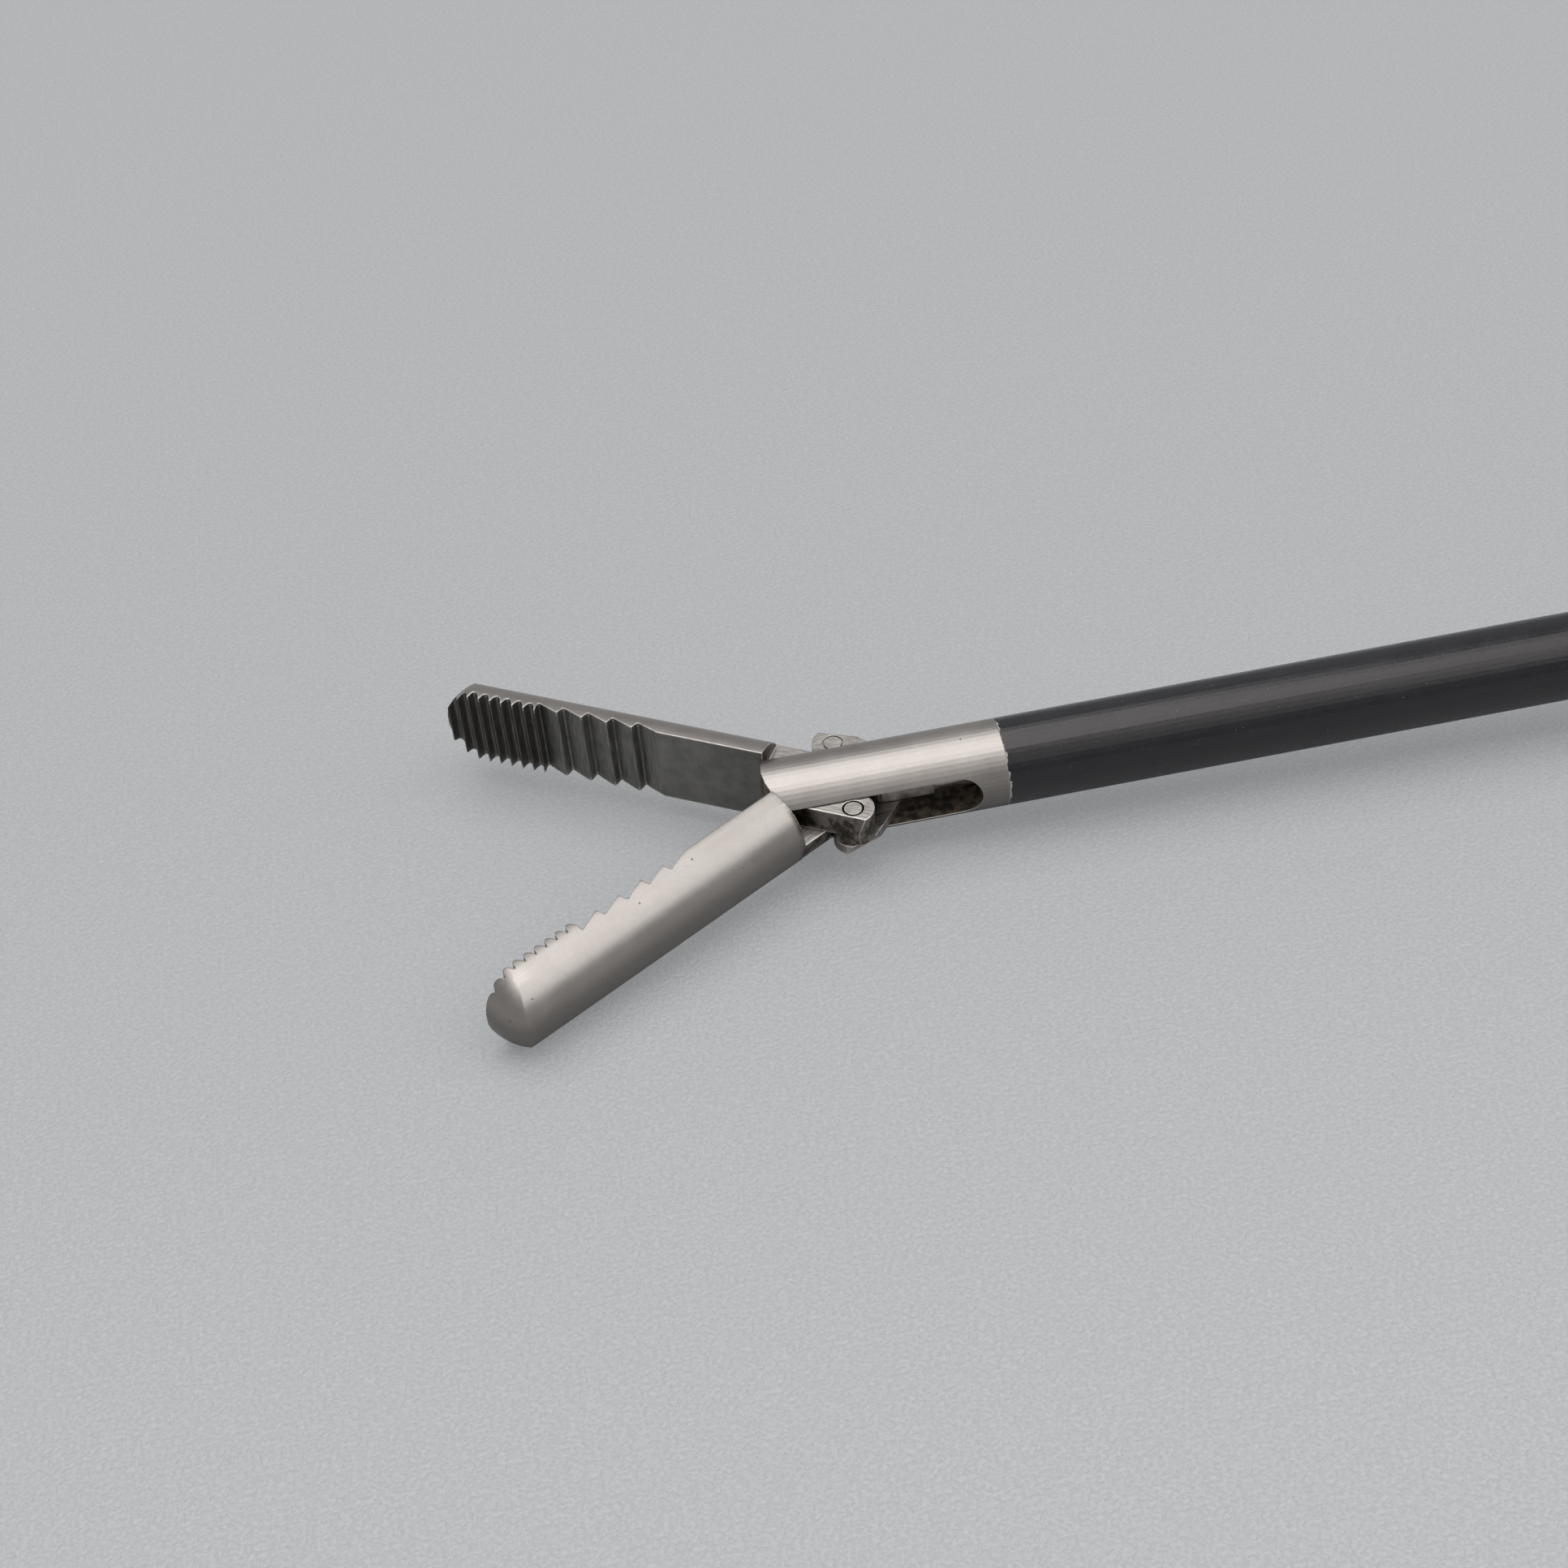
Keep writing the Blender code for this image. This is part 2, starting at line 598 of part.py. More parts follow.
def rod_seal(bench, parent):
    """Ring that keeps gas in, between the rod and the collar's bore."""
    centre = BODY_X + JOURNAL_LENGTH - JOURNAL_WALL - SEAL_MINOR_R - 0.3
    mid = ROD_R + RUNNING_GAP + SEAL_MINOR_R
    angles = [math.pi - 2 * math.pi * i / SEAL_SIDES for i in range(SEAL_SIDES)]
    profile = [(centre - SEAL_MINOR_R * math.cos(a), mid + SEAL_MINOR_R * math.sin(a)) for a in angles]
    return bench.piece(turned(bench, "rod_seal", profile, PIN_STEPS), parent, "silicone")


def rotation_knob(bench, parent):
    """Fluted knob pressed on the collar, with a land at the bottom where it rests."""
    back = KNOB_FRONT + KNOB_LENGTH
    bore = COLLAR_R + SEAT_GAP
    profile = [(back, bore), (back, KNOB_R - 0.9), (back - 0.9, KNOB_R), (KNOB_FRONT + 4.5, KNOB_R),
               (KNOB_FRONT + 1.8, KNOB_R - 1.6), (KNOB_FRONT, KNOB_NOSE_R), (KNOB_FRONT, bore)]
    ob = turned(bench, "rotation_knob", profile, 64)
    for k in range(KNOB_LANDS):
        angle = 2 * math.pi * (k + 0.5) / KNOB_LANDS
        y, z = FLUTE_CENTRE_R * math.sin(angle), -FLUTE_CENTRE_R * math.cos(angle)
        start, end = (KNOB_FRONT - 2, y, z), (back + 2, y, z)
        shape(ob, "DIFFERENCE", rod(bench, f"knob_flute_{k}", FLUTE_R, start, end, 20))
    return bench.piece(ob, parent, "knob_plastic")


def ring_outlines(centre, hole, wall):
    outer = ellipse(*centre, hole[0] + wall, hole[1] + wall)
    return [outer, ellipse(*centre, *hole)]


def finger_arm_outline():
    """Beam from the barrel down into the finger ring."""
    x, y = FINGER_RING_AT
    top = BARREL_BOTTOM + 5
    foot = y + FINGER_RING_HOLE[1] + FINGER_RING_WALL - 3
    return filleted([(x - 8, foot, 1.5), (x + 8, foot, 1.5), (x + 14, top, 1.0), (x - 3, top, 1.0)])


def handle_body(bench, parent):
    """Moulded grip: barrel with two cheeks for the lever, arm and finger ring."""
    length, low, top = BARREL_LENGTH, BARREL_BOTTOM, BARREL_TOP
    outline = filleted([(0, -JOURNAL_R - 4.5, 3), (8, low, 6), (length - 7, low, 6),
                        (length, low + 9, 5), (length, top, 5), (0, top, 3)])
    ob = plate(bench, "handle_body", [outline], -BARREL_HALF, BARREL_HALF, BARREL_ROUNDING)
    arm = plate(bench, "handle_arm", [finger_arm_outline()], -GRIP_HALF, GRIP_HALF, GRIP_ROUNDING / 2)
    shape(ob, "UNION", arm)
    ring = ring_outlines(FINGER_RING_AT, FINGER_RING_HOLE, FINGER_RING_WALL)
    shape(ob, "UNION", plate(bench, "handle_ring", ring, -GRIP_HALF, GRIP_HALF, GRIP_ROUNDING))
    boss_top = top + HF_BOSS_HEIGHT
    shape(ob, "UNION", rod(bench, "hf_boss", HF_BOSS_R, (HF_AT, 0, 0), (HF_AT, boss_top, 0)))
    slot = box(bench, "lever_slot", (SLOT_FRONT, low - 30, -LEVER_SLOT_HALF),
               (length + 5, top + 5, LEVER_SLOT_HALF))
    shape(ob, "DIFFERENCE", slot)
    journal = JOURNAL_LENGTH + 0.3
    pin_x, pin_y = LEVER_AT, -LEVER_ARM
    holes = (("journal_bore", JOURNAL_R + RUNNING_GAP, (-5, 0, 0), (journal, 0, 0)),
             ("rod_bore", ROD_R + 0.3, (journal - 1, 0, 0), (SLOT_FRONT + 5, 0, 0)),
             ("lever_pin_hole", LEVER_PIN_R + SEAT_GAP, (pin_x, pin_y, -20), (pin_x, pin_y, 20)),
             ("hf_hole", HF_R + SEAT_GAP, (HF_AT, hf_shoulder_y(), 0), (HF_AT, boss_top + 5, 0)),
             ("hf_tip_hole", HF_TIP_R + 0.05, (HF_AT, 0, 0), (HF_AT, boss_top, 0)),
             ("set_screw_hole", SET_SCREW_R + SEAT_GAP, (set_screw_x(), 0, 0), (set_screw_x(), 0, 20)))
    for name, radius, start, end in holes:
        shape(ob, "DIFFERENCE", rod(bench, name, radius, start, end))
    return bench.piece(ob, parent, "handle_plastic", (BODY_X, 0, 0))


def hf_shoulder_y():
    """Height in the barrel where the contact post steps down to its tip."""
    return BARREL_TOP - 5.0


def set_screw_x():
    """Set screw's place along the barrel: over the middle of the journal groove."""
    return GROOVE_FROM + GROOVE_WIDTH / 2


def hf_post(bench, parent):
    """Current post: plug end above the barrel, thin tip down to the rod."""
    tip = ROD_R + 0.25
    shoulder = hf_shoulder_y() + 0.02
    top = BARREL_TOP + HF_BOSS_HEIGHT + HF_LENGTH
    profile = [(top, 0.0), (top, HF_R - 0.6), (top - 0.8, HF_R), (shoulder, HF_R),
               (shoulder, HF_TIP_R), (tip, HF_TIP_R), (tip, 0.0)]
    ob = turned(bench, "hf_post", profile, PIN_STEPS)
    ob.rotation_euler = (-math.pi / 2, 0, 0)
    return bench.piece(ob, parent, "satin_steel", (BODY_X + HF_AT, 0, 0))


def collar_set_screw(bench, parent):
    """Grub screw whose dog point runs in the journal groove and keeps the shaft in."""
    top = BARREL_HALF - SET_SCREW_SINK
    floor = GROOVE_R + BORE_GAP
    step = JOURNAL_R + BORE_GAP
    profile = [(top, 0.0), (top, SET_SCREW_R - CHAMFER), (top - CHAMFER, SET_SCREW_R), (step, SET_SCREW_R),
               (step, SET_SCREW_TIP_R), (floor, SET_SCREW_TIP_R), (floor, 0.0)]
    ob = turned(bench, "collar_set_screw", profile, PIN_STEPS)
    ob.rotation_euler = (0, 0, 0)
    socket = rod(bench, "set_screw_socket", SOCKET_R, (0, 0, top - SOCKET_DEPTH), (0, 0, top + 1), 6)
    shape(ob, "DIFFERENCE", socket)
    return bench.piece(ob, parent, "ground_steel", (BODY_X + set_screw_x(), 0, 0))


def lever_arm_outline():
    """Beam from below the barrel back into the thumb ring."""
    x, y = THUMB_RING_AT
    return filleted([(x - 13.5, y + 17, 1.0), (x - 1.5, y + 19.0, 1.0), (9.0, -11.0, 1.5),
                     (-1.5, -11.0, 1.5)])


def thumb_lever(bench, parent):
    """Moving grip: fork for the ball at the top, thumb ring at the bottom."""
    half_pocket = BALL_R + POCKET_GAP
    fork = half_pocket + POCKET_WALL
    crown = LEVER_ARM + POCKET_LIP
    tang = filleted([(-fork, crown, 1.0), (-5.2, -1, 3), (-0.5, -15, 1.0), (7.5, -15, 1.0),
                     (5.2, -1, 3), (fork, crown, 1.0)])
    ob = plate(bench, "thumb_lever", [tang], -LEVER_HALF, LEVER_HALF)
    arm = plate(bench, "lever_arm", [lever_arm_outline()], -GRIP_HALF, GRIP_HALF, GRIP_ROUNDING / 2)
    shape(ob, "UNION", arm)
    ring = ring_outlines(THUMB_RING_AT, THUMB_RING_HOLE, THUMB_RING_WALL)
    shape(ob, "UNION", plate(bench, "lever_ring", ring, -GRIP_HALF, GRIP_HALF, GRIP_ROUNDING))
    floor = LEVER_ARM - BALL_R - POCKET_DROP
    pocket_z = BALL_R + POCKET_GAP
    shape(ob, "DIFFERENCE", box(bench, "ball_pocket", (-half_pocket, floor, -pocket_z),
                                (half_pocket, crown + 3, pocket_z)))
    rod_z = ROD_R + ROD_SLOT_GAP
    shape(ob, "DIFFERENCE", box(bench, "rod_slot", (-fork - 3, LEVER_ARM - ROD_R - ROD_SLOT_DROP, -rod_z),
                                (0, crown + 3, rod_z)))
    hole = LEVER_PIN_R + LEVER_HOLE_GAP
    shape(ob, "DIFFERENCE", rod(bench, "lever_hole", hole, (0, 0, -9), (0, 0, 9)))
    return bench.piece(ob, parent, "handle_plastic")


def lever_pivot_nut(bench, parent):
    """Barrel nut from below: it is the axle that the lever turns on."""
    low = -BARREL_HALF - SEAT_GAP
    high = BARREL_HALF - NUT_END_SHORT
    head = low - LEVER_HEAD_HEIGHT
    bore = LEVER_SCREW_R + SEAT_GAP
    profile = [(high, bore), (high, LEVER_PIN_R), (low, LEVER_PIN_R), (low, LEVER_HEAD_R),
               (low - HEAD_RIM, LEVER_HEAD_R), (head, LEVER_HEAD_R - HEAD_CROWN), (head, 0.0),
               (head + SCREW_SLOT_DEPTH, 0.0), (head + SCREW_SLOT_DEPTH, bore)]
    ob = turned(bench, "lever_pivot_nut", profile, PIN_STEPS)
    ob.rotation_euler = (0, 0, 0)
    return bench.piece(ob, parent, "satin_steel", (LEVER_X, -LEVER_ARM, 0))


def lever_pivot_screw(bench, parent):
    """Slotted screw from above, into the barrel nut."""
    seat = BARREL_HALF + SEAT_GAP
    tip = SCREW_TIP_SHORT - BARREL_HALF
    top = seat + LEVER_HEAD_HEIGHT
    profile = [(top, 0.0), (top, LEVER_HEAD_R - HEAD_CROWN), (seat + HEAD_RIM, LEVER_HEAD_R),
               (seat, LEVER_HEAD_R), (seat, LEVER_SCREW_R), (tip, LEVER_SCREW_R), (tip, 0.0)]
    ob = turned(bench, "lever_pivot_screw", profile, PIN_STEPS)
    ob.rotation_euler = (0, 0, 0)
    slot = box(bench, "screw_slot", (-LEVER_HEAD_R - 1, -SCREW_SLOT_HALF, top - SCREW_SLOT_DEPTH),
               (LEVER_HEAD_R + 1, SCREW_SLOT_HALF, top + 1))
    shape(ob, "DIFFERENCE", slot)
    return bench.piece(ob, parent, "satin_steel", (LEVER_X, -LEVER_ARM, 0))


def table_normal():
    """Up direction of the table, in the shaft frame, that the three resting places give."""
    tip_t = JAW_LENGTH - NOSE_LENGTH
    tip = Vector((-tip_t * math.cos(JAW_OPEN), -tip_t * math.sin(JAW_OPEN), 0))
    knob_x = KNOB_FRONT + 4.5
    ring = Vector((BODY_X + FINGER_RING_AT[0],
                   FINGER_RING_AT[1] - FINGER_RING_HOLE[1] - FINGER_RING_WALL + GRIP_ROUNDING,
                   GRIP_ROUNDING - GRIP_HALF))
    a = b = 0.0
    for _ in range(6):
        c = math.sqrt(1 - a * a - b * b)
        knob_drop = KNOB_R * math.sqrt(1 - a * a)
        m = Matrix(((knob_x - tip.x, -tip.y), (knob_x - ring.x, -ring.y)))
        wanted = Vector((knob_drop - SHAFT_R, knob_drop - GRIP_ROUNDING + c * ring.z))
        a, b = m.inverted() @ wanted
    return Vector((a, b, math.sqrt(1 - a * a - b * b)))


def set_on_table(bench, datum):
    """Tip the assembly onto its resting places and centre it over the origin."""
    datum.rotation_mode = "QUATERNION"
    datum.rotation_quaternion = table_normal().rotation_difference(Vector((0, 0, 1)))
    bpy.context.view_layer.update()
    depsgraph = bpy.context.evaluated_depsgraph_get()
    corners = []
    for ob in bench.parts.objects:
        if ob.type == "MESH":
            shown = ob.evaluated_get(depsgraph)
            corners += [shown.matrix_world @ v.co for v in shown.data.vertices]
    low = Vector([min(c[i] for c in corners) for i in range(3)])
    high = Vector([max(c[i] for c in corners) for i in range(3)])
    datum.location = (-(low.x + high.x) / 2, -(low.y + high.y) / 2, -low.z)


def build():
    clear_scene()
    bench = Bench()
    datum = bench.empty("rest_datum")
    handle = bench.empty("handle_axis", datum)
    shaft = bench.empty("shaft_axis", datum)
    slide = bench.empty("rod_axis", shaft, (ROD_PIN_OPEN, 0, 0))
    lever = bench.empty("lever_axis", datum, (LEVER_X, -LEVER_ARM, 0), LEVER_SWING / 2)
    angle = link_angle(LUG_ANGLE_OPEN)

    clevis(bench, shaft)
    jaw_pivot_pin(bench, shaft)
    sides = (("back", "lower", 1, 0.0, 0.0), ("front", "upper", -1, math.pi, SMALL_PITCH / 2))
    for side, layer, sign, roll, shift in sides:
        jaw_axis = bench.empty(f"jaw_{side}_axis", shaft, (0, 0, 0), -sign * JAW_OPEN)
        ob = bench.piece(jaw(bench, f"jaw_{side}", shift), jaw_axis, "satin_steel")
        ob.rotation_euler = (roll, 0, 0)
        link_axis = bench.empty(f"link_{layer}_axis", slide, (0, 0, 0), sign * angle)
        ob = bench.piece(link(bench, f"link_{layer}"), link_axis, "ground_steel")
        ob.rotation_euler = (roll, 0, 0)
        other = "front" if side == "back" else "back"
        linkage_pin(bench, f"link_pin_{other}", link_axis, (-LINK_LENGTH, 0))

    linkage_pin(bench, "rod_link_pin", slide, (0, 0))
    rod_end_block(bench, slide)
    drive_rod(bench, slide)
    rod_ball(bench, slide)
    shaft_tube(bench, shaft)
    insulation_sleeve(bench, shaft)
    shaft_collar(bench, shaft)
    rod_seal(bench, shaft)
    rotation_knob(bench, shaft)
    handle_body(bench, handle)
    collar_set_screw(bench, handle)
    hf_post(bench, handle)
    lever_pivot_nut(bench, handle)
    lever_pivot_screw(bench, handle)
    thumb_lever(bench, lever)
    set_on_table(bench, datum)


build()
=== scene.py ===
"""Looks of the laparoscopic grasping forceps: finishes, soft light, floor and camera.

Lengths are in millimetres in the shaft frame, and MM turns them into metres. The shaft frame has
its origin on the jaw pivot, +X along the shaft to the handle and +Z along the pivot.
"""
import json
import math

import bmesh
import bpy
from mathutils import Matrix, Vector


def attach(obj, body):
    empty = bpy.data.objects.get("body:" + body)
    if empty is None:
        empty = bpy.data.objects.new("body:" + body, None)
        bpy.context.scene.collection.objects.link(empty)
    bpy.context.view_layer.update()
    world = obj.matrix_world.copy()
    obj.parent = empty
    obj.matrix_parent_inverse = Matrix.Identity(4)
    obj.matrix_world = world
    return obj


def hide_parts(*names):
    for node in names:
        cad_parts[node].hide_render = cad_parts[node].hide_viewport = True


MM = 0.001

# Camera, fitted to the photograph in the shaft frame
CAMERA_AT = (-15.541, -109.917, 106.333)
CAMERA_ELEVATION = math.radians(43.457)
CAMERA_AZIMUTH = math.radians(7.191)
CAMERA_ROLL = math.radians(-5.562)
CAMERA_LENS = 62.726
SENSOR = 36.0

# Sizes of the jaw end that finishes follow, rounding of edges, and directions of grinding marks
SHAFT_R = 2.5
JAW_OPEN = math.radians(31.2)
SLEEVE_START = 10.68
EDGE_R = 0.07
JAW_EDGE_R = 0.12
SLEEVE_EDGE_R = 0.05
SHARP_FROM = math.radians(26)
LINK_HATCH = math.radians(-50)
JAW_HATCH = math.radians(50)

# Jaws, measured along the closing face from the pivot, and where their round has rings of points
JAW_LENGTHS = {"back": 22.95, "front": 23.33}
JAW_ROOT = 3.0
FACE_GAP = 0.02
FLAT_END = 9.4
RINGS = (3.4, 9.2, 16.6, 20.7)

# Nose: an arc turned about the shaft axis and spread across the jaws
NOSE_DEPTH = 1.96
NOSE_SLOPES = (math.radians(12), math.radians(85))
NOSE_R = 2.53
NOSE_SPREAD = 1.28
NOSE_POINTS = 15

# Big teeth: points of a valley as (distance, share of the depth), of a crest as (distance, height)
BIG_FIRST_VALLEY = 10.76
BIG_PITCH = 1.548
BIG_COUNT = 5
BIG_DEPTH = 0.5
BIG_VALLEY = ((-0.19, 0.86), (-0.10, 0.97), (-0.02, 1.0), (0.05, 0.9))
BIG_CREST = ((0.16, -0.08), (0.20, -0.01), (0.27, 0.0))

# Fine teeth: points of a crest as (distance, height), of a groove as (distance, share of the depth),
# and the share that is left of the front jaw's last crests
SMALL_FIRST_CREST = 16.95
SMALL_PITCH = 0.712
SMALL_COUNT = 9
SMALL_PROUD = 0.18
SMALL_DEPTH = 0.35
SMALL_CREST = ((0.0, SMALL_PROUD), (0.04, SMALL_PROUD - 0.02), (0.09, 0.03))
SMALL_GROOVE = ((0.17, 0.35), (0.26, 0.72), (0.35, 0.93), (0.44, 1.0), (0.52, 0.93),
                (0.59, 0.68), (0.64, 0.25))
SMALL_RISE = (0.67, 0.05)
LAST_CRESTS = {6: 0.8, 7: 0.6, 8: 0.45}
TIP_LAND = 0.1

# Blocks that the jaws are cut from: they run past the finished surface
PAST_TIP = 1.0
BLOCK_OUT = 3.5
BLOCK_HALF = 3.0
ROUND_BACK = 12.0
ROUND_FRONT = -25.0
DRILL_HALF = 4.0

# Tang and lug of a jaw: the tang runs a little into the blade, up to a step beside the shaft axis
TANG_TOP = 1.22
TANG_SHOULDER = 1.15
TANG_R = 1.985
EAR_GAP_R = 2.84
OUTSIDE = 2.7
LUG_AT = (3.235, math.radians(27.6))
LUG_R = 1.2
LUG_UNDER = 0.6
LUG_HOLE_R = 0.62
ARM_HALF = 0.85
PIVOT_HOLE_R = 0.63
TANG_SWEEP = math.radians(115.8)
TANG_MIDDLE = 0.02
TANG_OVERLAP = -3.4
TANG_STEP = (-2.96, 0.17)
LUG_ARC_START = -math.pi / 2

# Steel tones: light satin, its darker patches, and pale worn edges, whose brightness is partly a painted
# highlight
STEEL_LIGHT = (0.418, 0.386, 0.362)
STEEL_DARK = (0.375, 0.345, 0.322)
EDGE_WEAR_AND_HIGHLIGHT = (0.78, 0.75, 0.71)
STEEL_PIT = (0.09, 0.075, 0.065)

# Stains inside the slot, marks on ground flats, tones of the cut faces of the jaws, and the darker tone of
# the tang's side walls
SLOT_DARK = (0.060, 0.052, 0.045)
SLOT_BROWN = (0.21, 0.17, 0.125)
SLOT_SPECK = (0.62, 0.52, 0.38)
HATCH_DARK = (0.25, 0.231, 0.215)
HATCH_LIGHT = (0.47, 0.441, 0.412)
HATCH_STAIN = (0.20, 0.18, 0.16)
FACE_DARK = (0.20, 0.195, 0.185)
FACE_LIGHT = (0.26, 0.252, 0.238)
STREAK_DARK = (0.07, 0.067, 0.062)
STREAK_LIGHT = (0.34, 0.328, 0.305)
FINE_TEETH_DARK = (0.085, 0.078, 0.070)
FACE_PIT = (0.03, 0.027, 0.024)
TANG_WALL_DARK = (0.050, 0.040, 0.032)

# Insulation and its marks
SLEEVE_DARK = (0.006, 0.007, 0.010)
SLEEVE_LIGHT = (0.011, 0.012, 0.016)
SLEEVE_SPECK = (0.22, 0.21, 0.20)
SLEEVE_SCRATCH = (0.14, 0.14, 0.14)
SLEEVE_CHIP = (0.46, 0.45, 0.44)
SLEEVE_TINT = (1.0, 0.93, 0.90, 1.0)

# Plastics and silicone, as a light and a dark tone
HANDLE_TONES = ((0.022, 0.023, 0.026), (0.013, 0.014, 0.016))
KNOB_TONES = ((0.034, 0.035, 0.038), (0.022, 0.023, 0.026))
PLASTIC_SCRATCH = (0.12, 0.12, 0.12)
SEAL_TONES = ((0.50, 0.48, 0.45), (0.60, 0.58, 0.55))

# Stage: size and tone of the floor, brightness and share of its even grey, a glow that is painted light
# lightening shadows on it, and the world
FLOOR_HALF = 900.0
FLOOR_GREY = (0.436, 0.445, 0.454)
EVEN_GREY = 1.16
EVEN_SHARE = 0.38
WORLD_LIGHT = (0.325, 0.331, 0.338)

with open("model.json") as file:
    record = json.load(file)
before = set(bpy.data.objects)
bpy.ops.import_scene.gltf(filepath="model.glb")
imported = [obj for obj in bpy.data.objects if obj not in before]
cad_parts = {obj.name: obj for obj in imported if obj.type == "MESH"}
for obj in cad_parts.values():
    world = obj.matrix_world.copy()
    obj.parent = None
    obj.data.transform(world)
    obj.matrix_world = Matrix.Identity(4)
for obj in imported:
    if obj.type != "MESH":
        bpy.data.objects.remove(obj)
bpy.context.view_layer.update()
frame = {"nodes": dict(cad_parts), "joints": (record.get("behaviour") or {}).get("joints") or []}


def joint(name):
    return next(j for j in frame["joints"] if j["name"] == name)


def shaft_frame():
    """Matrix from shaft-frame metres to the row frame."""
    x = Vector(joint("rod_slide")["axis"]).normalized()
    z = Vector(joint("back_jaw_hinge")["axis"]).normalized()
    y = z.cross(x)
    turn = Matrix((x, y, z)).transposed().to_4x4()
    return Matrix.Translation(Vector(joint("back_jaw_hinge")["pos_m"])) @ turn


SHAFT = shaft_frame()


def make_camera():
    data = bpy.data.cameras.new("camera")
    data.sensor_width = SENSOR
    data.lens = CAMERA_LENS
    data.clip_start = 0.01
    data.clip_end = 20.0
    away = Vector((math.sin(CAMERA_AZIMUTH), math.cos(CAMERA_AZIMUTH), 0))
    side = Vector((math.cos(CAMERA_AZIMUTH), -math.sin(CAMERA_AZIMUTH), 0))
    level = Vector((0, 0, 1))
    ahead = away * math.cos(CAMERA_ELEVATION) - level * math.sin(CAMERA_ELEVATION)
    above = level * math.cos(CAMERA_ELEVATION) + away * math.sin(CAMERA_ELEVATION)
    right = side * math.cos(CAMERA_ROLL) + above * math.sin(CAMERA_ROLL)
    up = above * math.cos(CAMERA_ROLL) - side * math.sin(CAMERA_ROLL)
    turn = Matrix((right, up, -ahead)).transposed().to_4x4()
    camera = bpy.data.objects.new("camera", data)
    camera.matrix_world = SHAFT @ Matrix.Translation(Vector(CAMERA_AT) * MM) @ turn
    bpy.context.scene.collection.objects.link(camera)
    bpy.context.scene.camera = camera


